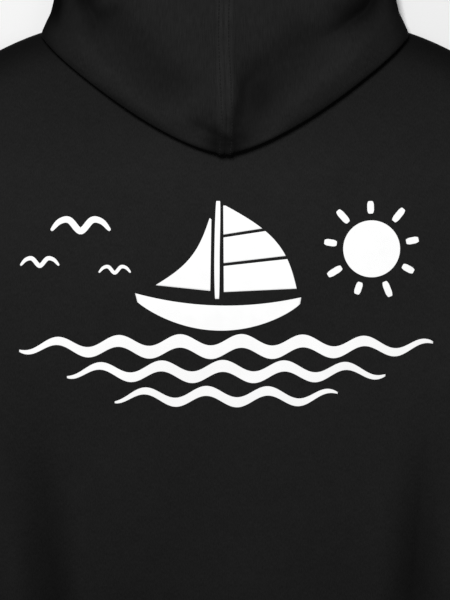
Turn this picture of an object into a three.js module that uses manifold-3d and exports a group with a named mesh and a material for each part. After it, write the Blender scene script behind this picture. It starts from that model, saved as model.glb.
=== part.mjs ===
// A hooded sweatshirt laid out on its front, back upwards, with the hood folded down over the back.
// Millimetres. X runs across the garment, Y from the hem towards the hood, Z up from what it lies on.
// The garment is worked out with Y counted from the hem, and moved at the end so that the origin is
// at the middle of its footprint.
import * as THREE from "three";
import { mergeVertices } from "three/addons/utils/BufferGeometryUtils.js";
import Module from "manifold-3d";

const wasm = await Module();
wasm.setup();

// ---- Cloth ----
const cloth = 2.4; // one layer of brushed fleece
const rib = 3.0; // one layer of the stretch rib in the hem and cuffs
const seamGap = 0.3; // air between two pieces that are sewn together
const seamJoin = 1.2; // the same where two curved edges meet end to end

// ---- Body ----
const neckPointY = 700; // high point of the shoulder, counted from the bottom of the hem
const neckHalf = 105; // half the width of the neckline
const backNeckDrop = 20;
const frontNeckDrop = 88;
const shoulderHalf = 246;
const shoulderSlope = 0.39; // fall of the shoulder seam for each unit across
const shoulderY = neckPointY - (shoulderHalf - neckHalf) * shoulderSlope;
const armpitY = 445;
const chestHalf = 270;
const armholeCurve = 26; // how far the armhole curves in from a straight line
const hemHeight = 70;
const hemHalf = 238;
const hemTuck = 22; // how far the body is drawn in where the hem rib grips it
const hemTuckReach = 35;

// ---- Sleeves: the cuff's place and lean, and how far the edges run straight out of each end ----
const cuffSeam = new THREE.Vector2(480, 150); // middle of the seam between sleeve and cuff
const cuffLean = THREE.MathUtils.degToRad(12); // from straight down, outwards
const cuffLength = 75;
const cuffHalf = 46;
const sleeveEndHalf = 50;
const overarmStart = { reach: 165, fall: THREE.MathUtils.degToRad(25) };
const overarmEndReach = 220;
const underarmStart = { reach: 100, fall: THREE.MathUtils.degToRad(48) };
const underarmEndReach = 150;
const armholeFade = 0.25; // share of the sleeve over which the armhole's curve dies out

// ---- Loft: how high the top layer stands over the bottom one ----
const bodyLoft = 26;
const hemLoft = 12;
const cuffLoft = 13;
const edgeRound = 70; // distance from a folded edge at which the top layer is at its full height
const narrowRound = 0.95; // the same in a narrow tube, as a share of half its width
const loftRise = 130; // length over which the body fills out above the hem
const sleeveTaper = 0.3; // share of the sleeve beyond which it flattens towards the cuff

// ---- Kangaroo pocket on the front, between the body and the floor ----
const pocket = { bottomHalf: 168, topHalf: 112, sideHeight: 78, height: 195, margin: 55, ramp: 60 };

// ---- Hood ----
const hoodTipY = 571; // lowest point of the fold that hangs over the back
const hoodTipDepth = 105; // from the tip up to the corners on the shoulders
const hoodHalf = 166; // half the width at the corners
const foldPower = 1.43; // shape of the fold's lower edge: 1 is a straight V, 2 a rounded U
const foldRadius = 6.5;
const rimHalf = 125;
const rimSideY = 808;
const rimCrown = 24; // how much further up the rim stands at the middle of the back
const rimFront = 183; // how far the rim drops to the middle of the front
const sideHeight = 14; // height of the fold at either side of the hood
const frontHeight = 2.3; // middle of the layer that lies on the floor
const layClear = 3.6; // from the back panel to the middle of the hood's lower layer
const neckEase = 2.6; // how much further out the hood starts at the sides of the neck than at its middles
const neckFrontZ = 4.5; // height of the neck seam at the front
const neckBend = [{ out: 7, up: 2.5 }, { out: 3, up: 7 }]; // the seam's turn, from the neckline to the fold
const neckSideZ = 8; // least height halfway from the neck to the fold, at the sides
const foldCrown = 6; // how far the cloth still rises just above the fold
const foldCrownShare = 0.14; // where, as a share of the way from the fold to the rim
const crownHeights = [{ share: 0.42, height: 56 }, { share: 0.75, height: 57 }, { share: 1, height: 51 }];
const frontSeamZ = 5; // height of the layer at the front, next to the neck seam
const turnPower = 0.6; // how soon the heights change on the way round the hood
const backTurn = { from: -0.12, over: 0.34 }; // cosines between which the front's shape becomes the back's

// ---- Eyelets for the hood's drawcord ----
const eyelet = {
  angle: THREE.MathUtils.degToRad(139), // place round the hood
  along: 0.5, // place between the neck seam and the rim
  flange: 6,
  barrel: 3.6,
  hole: 2.8,
  lip: 0.8,
};

// ---- How finely the curved surfaces are divided ----
const divisions = {
  halfNeck: 7,
  besideNeck: 5,
  belowArmpit: 7,
  acrossSleeve: 8,
  alongSleeve: 11,
  alongCuff: 3,
  acrossHem: 14,
  alongHem: 2,
  roundHood: 16,
  alongHood: 22,
  roundEyelet: 12,
  edgeStep: 15, // millimetres along the side seam
  edgeCurve: 24, // steps along each edge of a sleeve
};
const columnCrowding = 1.5; // above 1, the body's columns draw together towards the side
const rowCrowding = 1.25; // above 1, its rows draw together towards the hem

const smooth = (t) => THREE.MathUtils.smoothstep(t, 0, 1);
const mix = THREE.MathUtils.lerp;

// ---------- Outlines in plan ----------

function bodyHalfWidth(y) {
  if (y <= armpitY) return chestHalf - hemTuck * Math.exp(-(y - hemHeight) / hemTuckReach);
  const t = (y - armpitY) / (shoulderY - armpitY);
  return mix(chestHalf, shoulderHalf, t) - armholeCurve * Math.sin(Math.PI * t);
}

function shoulderLine(x) {
  return neckPointY - (Math.abs(x) - neckHalf) * shoulderSlope;
}

function necklineY(x, drop) {
  return neckPointY - drop * (1 - (x / neckHalf) ** 2);
}

const alongCuff = new THREE.Vector2(Math.sin(cuffLean), -Math.cos(cuffLean));
const acrossCuff = new THREE.Vector2(Math.cos(cuffLean), Math.sin(cuffLean));

// A sleeve edge: a cubic from the armhole to the cuff that leaves each end in a given direction.
function sleeveEdge(start, leave, side, endReach) {
  const end = cuffSeam.clone().addScaledVector(acrossCuff, side * sleeveEndHalf);
  const heading = new THREE.Vector2(Math.cos(leave.fall), -Math.sin(leave.fall));
  return new THREE.CubicBezierCurve(
    start,
    start.clone().addScaledVector(heading, leave.reach),
    end.clone().addScaledVector(alongCuff, -endReach),
    end,
  );
}

const overarm = sleeveEdge(new THREE.Vector2(shoulderHalf, shoulderY), overarmStart, 1, overarmEndReach);
const underarm = sleeveEdge(new THREE.Vector2(chestHalf, armpitY), underarmStart, -1, underarmEndReach);

// Point of a sleeve in plan: along 0 at the armhole to 1 at the cuff, across -1 overarm to 1 underarm.
function sleevePlan(across, along) {
  const p = overarm.getPoint(along).lerp(underarm.getPoint(along), (1 + across) / 2);
  const curve = Math.max(0, 1 - along / armholeFade) ** 2;
  p.x -= curve * armholeCurve * Math.sin((Math.PI * (1 - across)) / 2);
  return p;
}

function sleeveHalfWidth(along) {
  return overarm.getPoint(along).distanceTo(underarm.getPoint(along)) / 2;
}

function cuffPlan(across, along) {
  return cuffSeam
    .clone()
    .addScaledVector(alongCuff, mix(seamJoin, cuffLength, along))
    .addScaledVector(acrossCuff, -across * cuffHalf);
}

// ---------- Loft ----------

// The folded edges of the right half: side seam, underarm, overarm and shoulder.
const foldedEdges = (() => {
  const side = [];
  for (let y = 0; y <= armpitY; y += divisions.edgeStep)
    side.push(new THREE.Vector2(bodyHalfWidth(Math.max(y, hemHeight)), y));
  const shoulder = [new THREE.Vector2(neckHalf, neckPointY), new THREE.Vector2(shoulderHalf, shoulderY)];
  const sleeveLine = (edge) => edge.getPoints(divisions.edgeCurve);
  return [[...side, ...sleeveLine(underarm)], [...shoulder, ...sleeveLine(overarm)]];
})();

function distanceToFold(x, y) {
  const p = new THREE.Vector2(Math.abs(x), y);
  let best = Infinity;
  for (const line of foldedEdges)
    for (let i = 1; i < line.length; i++) {
      const run = line[i].clone().sub(line[i - 1]);
      const from = p.clone().sub(line[i - 1]);
      const t = THREE.MathUtils.clamp(from.dot(run) / Math.max(run.lengthSq(), 1e-9), 0, 1);
      best = Math.min(best, from.addScaledVector(run, -t).length());
    }
  return best;
}

// Quarter-round rise from a folded edge.
function edgeRise(distance, reach) {
  const t = THREE.MathUtils.clamp(distance / reach, 0, 1);
  return Math.sqrt(1 - (1 - t) ** 2);
}

function bodyHeight(x, y) {
  const height = mix(cuffLoft, bodyLoft, smooth((y - hemHeight) / loftRise));
  const outside = Math.abs(x) > neckHalf && y > shoulderLine(x);
  return outside ? 0 : height * edgeRise(distanceToFold(x, y), edgeRound);
}

function sleeveHeight(x, y, along) {
  const height = mix(bodyLoft, cuffLoft, smooth((along - sleeveTaper) / (1 - sleeveTaper)));
  return height * edgeRise(distanceToFold(x, y), Math.min(edgeRound, narrowRound * sleeveHalfWidth(along)));
}

const backUnderside = (x, y) => cloth + seamGap + bodyHeight(x, y);
const backTop = (x, y) => backUnderside(x, y) + cloth;

// How far the front panel is lifted off the floor by the pocket under it.
function pocketLift(x, y) {
  const across = smooth((pocket.bottomHalf + pocket.margin + pocket.ramp - Math.abs(x)) / pocket.ramp);
  const above = smooth((hemHeight + pocket.height + pocket.margin + pocket.ramp - y) / pocket.ramp);
  return (cloth + seamGap) * across * above;
}

// ---------- Solids ----------

// A closed wall between two grids of points, each an array of rows. Rows that wrap close on themselves.
function wallBetween(outer, inner, wraps) {
  const rows = outer.length;
  const columns = outer[0].length;
  const points = [...outer.flat(), ...inner.flat()];
  const at = (layer, j, i) => layer * rows * columns + j * columns + (i % columns);
  const index = [];
  const quad = (a, b, c, d) => index.push(a, b, c, a, c, d);
  const spans = wraps ? columns : columns - 1;
  for (let j = 0; j < rows - 1; j++)
    for (let i = 0; i < spans; i++) {
      quad(at(0, j, i), at(0, j, i + 1), at(0, j + 1, i + 1), at(0, j + 1, i));
      quad(at(1, j, i), at(1, j + 1, i), at(1, j + 1, i + 1), at(1, j, i + 1));
    }
  for (let i = 0; i < spans; i++) {
    quad(at(0, 0, i + 1), at(0, 0, i), at(1, 0, i), at(1, 0, i + 1));
    quad(at(0, rows - 1, i), at(0, rows - 1, i + 1), at(1, rows - 1, i + 1), at(1, rows - 1, i));
  }
  if (!wraps)
    for (let j = 0; j < rows - 1; j++) {
      quad(at(0, j, 0), at(0, j + 1, 0), at(1, j + 1, 0), at(1, j, 0));
      const end = columns - 1;
      quad(at(0, j + 1, end), at(0, j, end), at(1, j, end), at(1, j + 1, end));
    }
  const position = new Float32Array(points.flatMap((p) => [p.x, p.y, p.z]));
  const geometry = new THREE.BufferGeometry();
  geometry.setAttribute("position", new THREE.BufferAttribute(position, 3));
  geometry.setIndex(index);
  return facingOut(geometry);
}

function signedVolume(geometry) {
  const p = geometry.getAttribute("position");
  const corner = [0, 1, 2].map(() => new THREE.Vector3());
  let sum = 0;
  for (let i = 0; i < geometry.index.count; i += 3) {
    corner.forEach((v, k) => v.fromBufferAttribute(p, geometry.index.getX(i + k)));
    sum += corner[0].dot(corner[1].clone().cross(corner[2])) / 6;
  }
  return sum;
}

// The same surface with its faces pointing out.
function facingOut(geometry) {
  if (signedVolume(geometry) < 0) {
    const turned = geometry.index.array;
    for (let i = 1; i < turned.length; i += 3) [turned[i], turned[i + 1]] = [turned[i + 1], turned[i]];
  }
  geometry.computeVertexNormals();
  return geometry;
}

const steps = (from, to, count) => Array.from({ length: count + 1 }, (_, k) => mix(from, to, k / count));

// Points from -1 to 1 across a flat tube, closer together towards its folded edges.
const acrossTube = (count) => steps(-1, 1, count).map((t) => Math.sin((Math.PI / 2) * t));
const sleeveAcross = acrossTube(divisions.acrossSleeve);

// Body columns as shares of the shoulder width, with one on each end of the neckline, and closer
// together towards the side.
const bodyColumns = (() => {
  const corner = neckHalf / shoulderHalf;
  const crowded = (t) => mix(corner, 1, 1 - (1 - t) ** columnCrowding);
  const beyondNeck = steps(0, 1, divisions.besideNeck).map(crowded);
  const half = [...steps(0, corner, divisions.halfNeck).slice(1), ...beyondNeck.slice(1)];
  return [...half.map((u) => -u).reverse(), 0, ...half];
})();

// Body rows as shares of the height from hem to shoulder, closer near the hem. The ones along the
// armhole match the sleeve's.
const bodyRows = (() => {
  const armpit = (armpitY - hemHeight) / (shoulderY - hemHeight);
  const below = steps(0, 1, divisions.belowArmpit).map((t) => armpit * t ** rowCrowding);
  return [...below, ...sleeveAcross.slice(1).map((b) => mix(armpit, 1, (1 + b) / 2))];
})();

// A body panel, between an underside and a top that are heights over the plan.
function bodyPanel(neckDrop, underside, top) {
  const grid = (height) =>
    bodyRows.map((v) => {
      const half = bodyHalfWidth(mix(hemHeight, shoulderY, v));
      return bodyColumns.map((u) => {
        const edgeX = u * shoulderHalf;
        const inNeck = Math.abs(edgeX) <= neckHalf + 1e-6;
        const endY = inNeck ? necklineY(edgeX, neckDrop) : shoulderLine(edgeX);
        const x = u * half;
        const y = mix(hemHeight, endY, v);
        return new THREE.Vector3(x, y, height(x, y));
      });
    });
  return wallBetween(grid(top), grid(underside), false);
}

// A flattened tube of cloth. plan(across, along, inset) gives a point, height(point, along) its loft.
function flatTube(wall, across, alongCount, plan, height) {
  const loop = (along, inset, bottom, over) => {
    const top = across.map((b) => {
      const p = plan(b, along, inset);
      return new THREE.Vector3(p.x, p.y, over + height(p, along));
    });
    const under = [...across].reverse().map((b) => {
      const p = plan(b, along, inset);
      return new THREE.Vector3(p.x, p.y, bottom);
    });
    return [...top, ...under];
  };
  const along = steps(0, 1, alongCount);
  const outer = along.map((a) => loop(a, 0, 0, 2 * wall + seamGap));
  const inner = along.map((a) => loop(a, wall, wall, wall + seamGap));
  return wallBetween(outer, inner, true);
}

function sleeveSolid() {
  const plan = (across, along, inset) => {
    const p = sleevePlan(across * (1 - inset / sleeveHalfWidth(along)), along);
    return p.setX(p.x + seamJoin * (1 - along));
  };
  const height = (p, along) => sleeveHeight(p.x, p.y, along);
  return flatTube(cloth, sleeveAcross, divisions.alongSleeve, plan, height);
}

function cuffSolid() {
  const plan = (across, along, inset) => cuffPlan(across * (1 - inset / cuffHalf), along);
  const height = (p) => {
    const across = Math.abs(p.clone().sub(cuffSeam).dot(acrossCuff));
    return cuffLoft * edgeRise(cuffHalf - across, narrowRound * cuffHalf);
  };
  return flatTube(rib, sleeveAcross, divisions.alongCuff, plan, height);
}

// One side of the hem band, with its underside at a height over the plan.
function hemSide(underside) {
  const grid = (above) =>
    steps(0, hemHeight - seamJoin, divisions.alongHem).map((y) =>
      acrossTube(divisions.acrossHem)
        .map((t) => t * hemHalf)
        .map((x) => new THREE.Vector3(x, y, underside(x) + above)),
    );
  return wallBetween(grid(rib), grid(0), false);
}

const hemArch = (x) => rib + seamGap + hemLoft * edgeRise(hemHalf - Math.abs(x), edgeRound);

function pocketSolid() {
  const outline = new THREE.Shape();
  outline.moveTo(-pocket.bottomHalf, 0);
  outline.lineTo(pocket.bottomHalf, 0);
  outline.lineTo(pocket.bottomHalf, pocket.sideHeight);
  outline.lineTo(pocket.topHalf, pocket.height);
  outline.lineTo(-pocket.topHalf, pocket.height);
  outline.lineTo(-pocket.bottomHalf, pocket.sideHeight);
  return new THREE.ExtrudeGeometry(outline, { depth: cloth, bevelEnabled: false });
}

// ---------- Hood ----------

// Control points of the line that one strip of the hood follows, from the neck seam to the rim.
// angle is 0 at the middle of the back, a quarter turn at the side and a half turn at the front.
function hoodControls(angle) {
  const c = Math.cos(angle);
  const q = Math.sin(angle);
  const drop = c > 0 ? backNeckDrop : frontNeckDrop;
  const neckY = neckPointY - drop * c * c + seamJoin + neckEase * (1 - Math.abs(c));
  const neck = new THREE.Vector2(neckHalf * q, neckY);
  const rim = new THREE.Vector2(rimHalf * q, rimSideY + (c > 0 ? rimCrown : -rimFront) * c * c);
  const fold = new THREE.Vector2(hoodHalf * q, hoodTipY + hoodTipDepth * q ** foldPower);
  const full = Math.max(c, 0) ** turnPower; // how far round the back, for heights
  const neckZ = mix(neckFrontZ, backTop(0, neckPointY - backNeckDrop) - cloth / 2, full);
  const over = (p) => backTop(p.x, p.y) + layClear;
  const crown = (height) => mix(sideHeight, height, full);
  const halfway = neck.clone().lerp(fold, 0.5);
  const upTo = (share) => fold.clone().lerp(rim, share);
  const back = [
    [neck, neckZ],
    ...neckBend.map(({ out, up }) => [neck.clone().setY(neck.y + out), neckZ + up]),
    [halfway, Math.max(over(halfway), mix(neckSideZ, 0, full))],
    [fold, over(fold)],
    [fold, over(fold) + 2 * foldRadius],
    [upTo(foldCrownShare), over(fold) + 2 * foldRadius + foldCrown * full],
    ...crownHeights.map(({ share, height }) => [upTo(share), crown(height)]),
  ];
  // Round the front the cloth lies flat between the neck seam and the rim.
  const round = Math.max(-c, 0) ** turnPower;
  const front = steps(0, 1, back.length - 1).map((t) => [
    neck.clone().lerp(rim, t),
    mix(mix(frontSeamZ, sideHeight, t), frontHeight, round),
  ]);
  const weight = smooth((c - backTurn.from) / backTurn.over);
  return back.map(([plan, z], k) => {
    const p = front[k][0].clone().lerp(plan, weight);
    return new THREE.Vector3(p.x, p.y, mix(front[k][1], z, weight));
  });
}

// Uniform cubic B-spline through its first and last control points, at share s of its length in steps.
function splinePoint(controls, s) {
  const last = controls.length - 1;
  const ends = [
    controls[0].clone().multiplyScalar(2).sub(controls[1]),
    ...controls,
    controls[last].clone().multiplyScalar(2).sub(controls[last - 1]),
  ];
  const at = Math.min(s * last, last - 1e-9);
  const k = Math.floor(at);
  const t = at - k;
  const weights = [(1 - t) ** 3, 3 * t ** 3 - 6 * t ** 2 + 4, -3 * t ** 3 + 3 * t ** 2 + 3 * t + 1, t ** 3];
  const p = new THREE.Vector3();
  weights.forEach((w, i) => p.addScaledVector(ends[k + i], w / 6));
  return p;
}

// One half of the hood: the strips as a sheet, thickened to both sides of itself.
function hoodSolid() {
  const rows = steps(0, 1, divisions.alongHood);
  const sheet = steps(0, Math.PI, divisions.roundHood).map((angle) => {
    const controls = hoodControls(angle);
    return rows.map((s) => {
      const p = splinePoint(controls, s);
      return p.setX(p.x + seamGap); // clear of the other half at the middle seams
    });
  });
  const shifted = (side) =>
    sheet.map((row, j) =>
      row.map((p, i) => {
        const alongRow = row[Math.min(i + 1, row.length - 1)].clone().sub(row[Math.max(i - 1, 0)]);
        const next = sheet[Math.min(j + 1, sheet.length - 1)][i];
        const before = sheet[Math.max(j - 1, 0)][i];
        const normal = next.clone().sub(before).cross(alongRow).normalize();
        if (j === 0 || j === sheet.length - 1) normal.setX(0).normalize();
        return p.clone().addScaledVector(normal, (side * cloth) / 2);
      }),
    );
  return wallBetween(shifted(1), shifted(-1), false);
}

const eyeletPlace = splinePoint(hoodControls(eyelet.angle), eyelet.along);

function eyeletSolid() {
  const { flange, barrel, hole, lip } = eyelet;
  const half = cloth / 2 + seamGap + lip;
  const profile = [
    [hole, -half],
    [flange, -half],
    [flange, -half + lip],
    [barrel, -half + lip],
    [barrel, half - lip],
    [flange, half - lip],
    [flange, half],
    [hole, half],
    [hole, -half],
  ].map(([r, z]) => new THREE.Vector2(r, z));
  return new THREE.LatheGeometry(profile, divisions.roundEyelet).rotateX(Math.PI / 2);
}

// ---------- Booleans and mirroring ----------

function solidOf(geometry) {
  const plain = new THREE.BufferGeometry().setAttribute("position", geometry.getAttribute("position"));
  if (geometry.index) plain.setIndex(geometry.index);
  const merged = mergeVertices(plain, 1e-3);
  const vertProperties = merged.attributes.position.array;
  const triVerts = new Uint32Array(merged.index.array);
  return new wasm.Manifold(new wasm.Mesh({ numProp: 3, vertProperties, triVerts }));
}

function geometryOf(solid) {
  const mesh = solid.getMesh();
  const geometry = new THREE.BufferGeometry();
  geometry.setAttribute("position", new THREE.BufferAttribute(new Float32Array(mesh.vertProperties), 3));
  geometry.setIndex(new THREE.BufferAttribute(new Uint32Array(mesh.triVerts), 1));
  geometry.computeVertexNormals();
  return geometry;
}

// The hood's half with the eyelet's hole through the layer on the floor.
function hoodWithHole() {
  const bore = eyelet.barrel + seamGap;
  const drill = new THREE.CylinderGeometry(bore, bore, 5 * cloth, divisions.roundEyelet);
  drill.rotateX(Math.PI / 2).translate(eyeletPlace.x, eyeletPlace.y, eyeletPlace.z);
  return geometryOf(solidOf(hoodSolid()).subtract(solidOf(drill)));
}

function mirrored(geometry) {
  const copy = geometry.clone().scale(-1, 1, 1);
  if (!copy.index) copy.setIndex([...Array(copy.getAttribute("position").count).keys()]);
  return facingOut(copy);
}

// ---------- The garment ----------

const fleece = new THREE.MeshStandardMaterial({ color: 0x1d1d1e, roughness: 0.95, metalness: 0 });
const ribKnit = new THREE.MeshStandardMaterial({ color: 0x1a1a1b, roughness: 0.95, metalness: 0 });
const darkMetal = new THREE.MeshStandardMaterial({ color: 0x3a3a3c, roughness: 0.35, metalness: 1 });

const garment = new THREE.Group();

function add(name, geometry, material, place) {
  const mesh = new THREE.Mesh(geometry, material);
  mesh.name = name;
  if (place) mesh.position.copy(place);
  garment.add(mesh);
}

// Left and right are the wearer's: seen from behind, the left side is at low X.
function addPair(name, geometry, material, place = new THREE.Vector3()) {
  add(name + "_right", geometry, material, place);
  add(name + "_left", mirrored(geometry), material, place.clone().setX(-place.x));
}

add("back_panel", bodyPanel(backNeckDrop, backUnderside, backTop), fleece);
add("front_panel", bodyPanel(frontNeckDrop, pocketLift, (x, y) => pocketLift(x, y) + cloth), fleece);
addPair("sleeve", sleeveSolid(), fleece);
addPair("cuff", cuffSolid(), ribKnit);
add("hem_back", hemSide(hemArch), ribKnit);
add("hem_front", hemSide(() => 0), ribKnit);
add("pocket", pocketSolid(), fleece, new THREE.Vector3(0, hemHeight + seamJoin, 0));
addPair("hood", hoodWithHole(), fleece);
addPair("eyelet", eyeletSolid(), darkMetal, eyeletPlace);

const footprint = new THREE.Box3().setFromObject(garment);
const middle = footprint.getCenter(new THREE.Vector3());
garment.position.set(-middle.x, -middle.y, -footprint.min.z);

export default new THREE.Group().add(garment);
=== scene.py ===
import math

import bpy
import numpy as np
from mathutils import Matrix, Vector


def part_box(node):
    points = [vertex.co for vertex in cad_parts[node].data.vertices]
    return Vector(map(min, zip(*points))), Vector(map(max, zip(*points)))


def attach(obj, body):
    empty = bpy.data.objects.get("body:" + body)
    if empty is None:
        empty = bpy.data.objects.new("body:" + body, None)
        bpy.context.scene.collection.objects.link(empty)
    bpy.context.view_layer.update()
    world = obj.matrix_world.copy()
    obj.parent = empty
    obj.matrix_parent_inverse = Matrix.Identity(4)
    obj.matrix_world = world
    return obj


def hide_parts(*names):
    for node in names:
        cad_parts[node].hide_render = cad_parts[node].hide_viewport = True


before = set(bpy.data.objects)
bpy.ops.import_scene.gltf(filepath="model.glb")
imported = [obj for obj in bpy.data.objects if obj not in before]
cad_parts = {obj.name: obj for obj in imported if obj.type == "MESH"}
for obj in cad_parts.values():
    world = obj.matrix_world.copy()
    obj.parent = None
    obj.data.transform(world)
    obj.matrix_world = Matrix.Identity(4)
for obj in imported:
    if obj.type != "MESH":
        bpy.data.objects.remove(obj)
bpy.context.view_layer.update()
scene = bpy.context.scene
random = np.random.default_rng(11)

# Shapes are worked out in millimetres in the garment's own plan: x across, y up from the bottom of
# the hem, z up from the floor. place() turns them into the frame's metres.
metre, millimetre = 1000.0, 0.001
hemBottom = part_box("hem_front")[0].y * metre


def place(points):
    return (points + np.array([0.0, hemBottom, 0.0])) * millimetre


view = {
    "height": 2600.0, "middleY": 445.0, "seenTall": 528.0, "clothHeight": 28.0,
    "sensor": 36.0, "near": 0.05, "far": 50.0,
}


# The camera is straight above, with the garment's up along the picture's up, so it needs no turn.
# Its lens is the sensor's length times the distance to the cloth over the length of cloth seen.
def makeCamera(v):
    data = bpy.data.cameras.new("camera")
    camera = bpy.data.objects.new("camera", data)
    scene.collection.objects.link(camera)
    camera.location = place(np.array([0.0, v["middleY"], v["height"]]))
    data.sensor_width = v["sensor"]
    data.lens = data.sensor_width * (v["height"] - v["clothHeight"]) / v["seenTall"]
    data.clip_start, data.clip_end = v["near"], v["far"]
    scene.camera = camera


makeCamera(view)
print("camera ready")


# A smooth step: three t squared less two t cubed, level at both ends.
def smooth(t):
    t = np.clip(t, 0.0, 1.0)
    return t * t * (3.0 - 2.0 * t)


# A straight mix, all a where t is 0 and all b where it is 1.
def mix(a, b, t):
    return a + (b - a) * t


# A bell: e to the minus square of the distance in widths.
def bell(d, width):
    return np.exp(-((d / width) ** 2))


# Vectors divided by their lengths.
def unit(v, least=1e-9):
    return v / np.maximum(np.linalg.norm(v, axis=-1, keepdims=True), least)


# Even steps from 0 to 1, drawn together towards both ends by a share of a sine.
def easedSteps(count, ease):
    t = np.linspace(-1.0, 1.0, count)
    return 0.5 + 0.5 * mix(t, np.sin(t * math.pi / 2), ease)


# Lengths along a line from its start to each of its points.
def lengthAlong(line):
    return np.concatenate([[0.0], np.cumsum(np.linalg.norm(np.diff(line, axis=0), axis=1))])


# A line laid out again at the given lengths from its start.
def atLengths(line, lengths):
    reached = lengthAlong(line)
    return np.stack([np.interp(lengths, reached, line[:, k]) for k in range(line.shape[1])], 1)


# Catmull-Rom curve through a few points, with a number of steps in each stretch.
def through(points, perStretch=6):
    p = np.array(points, float)
    p = np.vstack([2 * p[0] - p[1], p, 2 * p[-1] - p[-2]])
    t = np.linspace(0.0, 1.0, perStretch, endpoint=False)[None, :, None]
    a, b, c, d = (p[i:len(p) - 3 + i, None, :] for i in range(4))
    curve = 2 * b + (c - a) * t + (2 * a - 5 * b + 4 * c - d) * t**2 + (3 * b - a - 3 * c + d) * t**3
    return np.vstack([0.5 * curve.reshape(-1, p.shape[1]), p[-2]])


# Distance from points to a polyline, and the share of its length at the nearest place.
def toLine(x, y, line):
    start, run = line[:-1], np.diff(line, axis=0)
    squared = np.maximum((run**2).sum(1), 1e-9)
    reached = np.concatenate([[0.0], np.cumsum(np.sqrt(squared))])
    best, share = np.full(np.shape(x), 1e9), np.zeros(np.shape(x))
    for (sx, sy), (rx, ry), sq, before, after in zip(start, run, squared, reached[:-1], reached[1:]):
        t = np.clip(((x - sx) * rx + (y - sy) * ry) / sq, 0.0, 1.0)
        d = np.hypot(x - sx - t * rx, y - sy - t * ry)
        nearer = d < best
        best = np.where(nearer, d, best)
        share = np.where(nearer, mix(before, after, t) / reached[-1], share)
    return best, share


folding = {"sharpBelow": 12.0, "sharpWidth": 0.75, "sharpReach": 7.0, "softReach": 3.0, "point": 0.35}


# A crease falls off from its middle line as e to the minus distance, with the point rounded a little.
def crease(d, width):
    point = folding["point"]
    return np.exp(point - np.sqrt((d / width) ** 2 + point**2))


# Folds: each is a path, a width, a height that is below 0 for a groove, and the shares of its
# length over which it comes and goes. Across the path it is a bell, or a crease if it is a narrow
# groove.
def foldRelief(x, y, folds):
    total = np.zeros(np.shape(x))
    for path, width, height, fadeIn, fadeOut in folds:
        line = through(path)
        sharp = height < 0 and width < folding["sharpBelow"]
        reach = (folding["sharpReach"] if sharp else folding["softReach"]) * width
        near = (x > line[:, 0].min() - reach) & (x < line[:, 0].max() + reach)
        near &= (y > line[:, 1].min() - reach) & (y < line[:, 1].max() + reach)
        if not near.any():
            continue
        d, s = toLine(x[near], y[near], line)
        profile = crease(d, folding["sharpWidth"] * width) if sharp else bell(d, width)
        total[near] += height * profile * smooth(s / fadeIn) * smooth((1.0 - s) / fadeOut)
    return total


# The depth of groove at which its painted shade is 1, and the most that painted shades at a point add up to.
shading = {"fullDepth": 24.0, "most": 1.75}


# The painted shade that a point's depth in grooves gives, from 0 to 1.
def grooveShade(x, y, folds):
    return np.clip(-foldRelief(x, y, folds) / shading["fullDepth"], 0.0, 1.0)


# A groove levels out before it is deeper than the room that is under it.
def noDeeper(relief, room, least=0.5):
    room = np.maximum(room, least)
    return np.where(relief < 0, -room * np.tanh(-relief / room), relief)


# Waves in seeded directions, each about one wavelength long. Their sum is a gentle unevenness.
def makeWaves(wavelength, count=7, spread=(0.7, 1.5)):
    turn, phase = random.uniform(0, math.tau, (2, count))
    k = math.tau / (wavelength * random.uniform(*spread, count))
    return k * np.cos(turn), k * np.sin(turn), phase


# The sum of the waves' sines over the root of their number.
def unevenness(x, y, waves):
    return sum(np.sin(x * kx + y * ky + p) for kx, ky, p in zip(*waves)) / math.sqrt(len(waves[0]))


# Normals of a grid of points, from the cross product of its two directions.
def gridNormals(grid, wrap=False, facing=1.0):
    across = np.roll(grid, -1, 1) - np.roll(grid, 1, 1) if wrap else np.gradient(grid, axis=1)
    along = np.gradient(grid, axis=0)
    return unit(np.cross(across, along)) * facing


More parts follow.
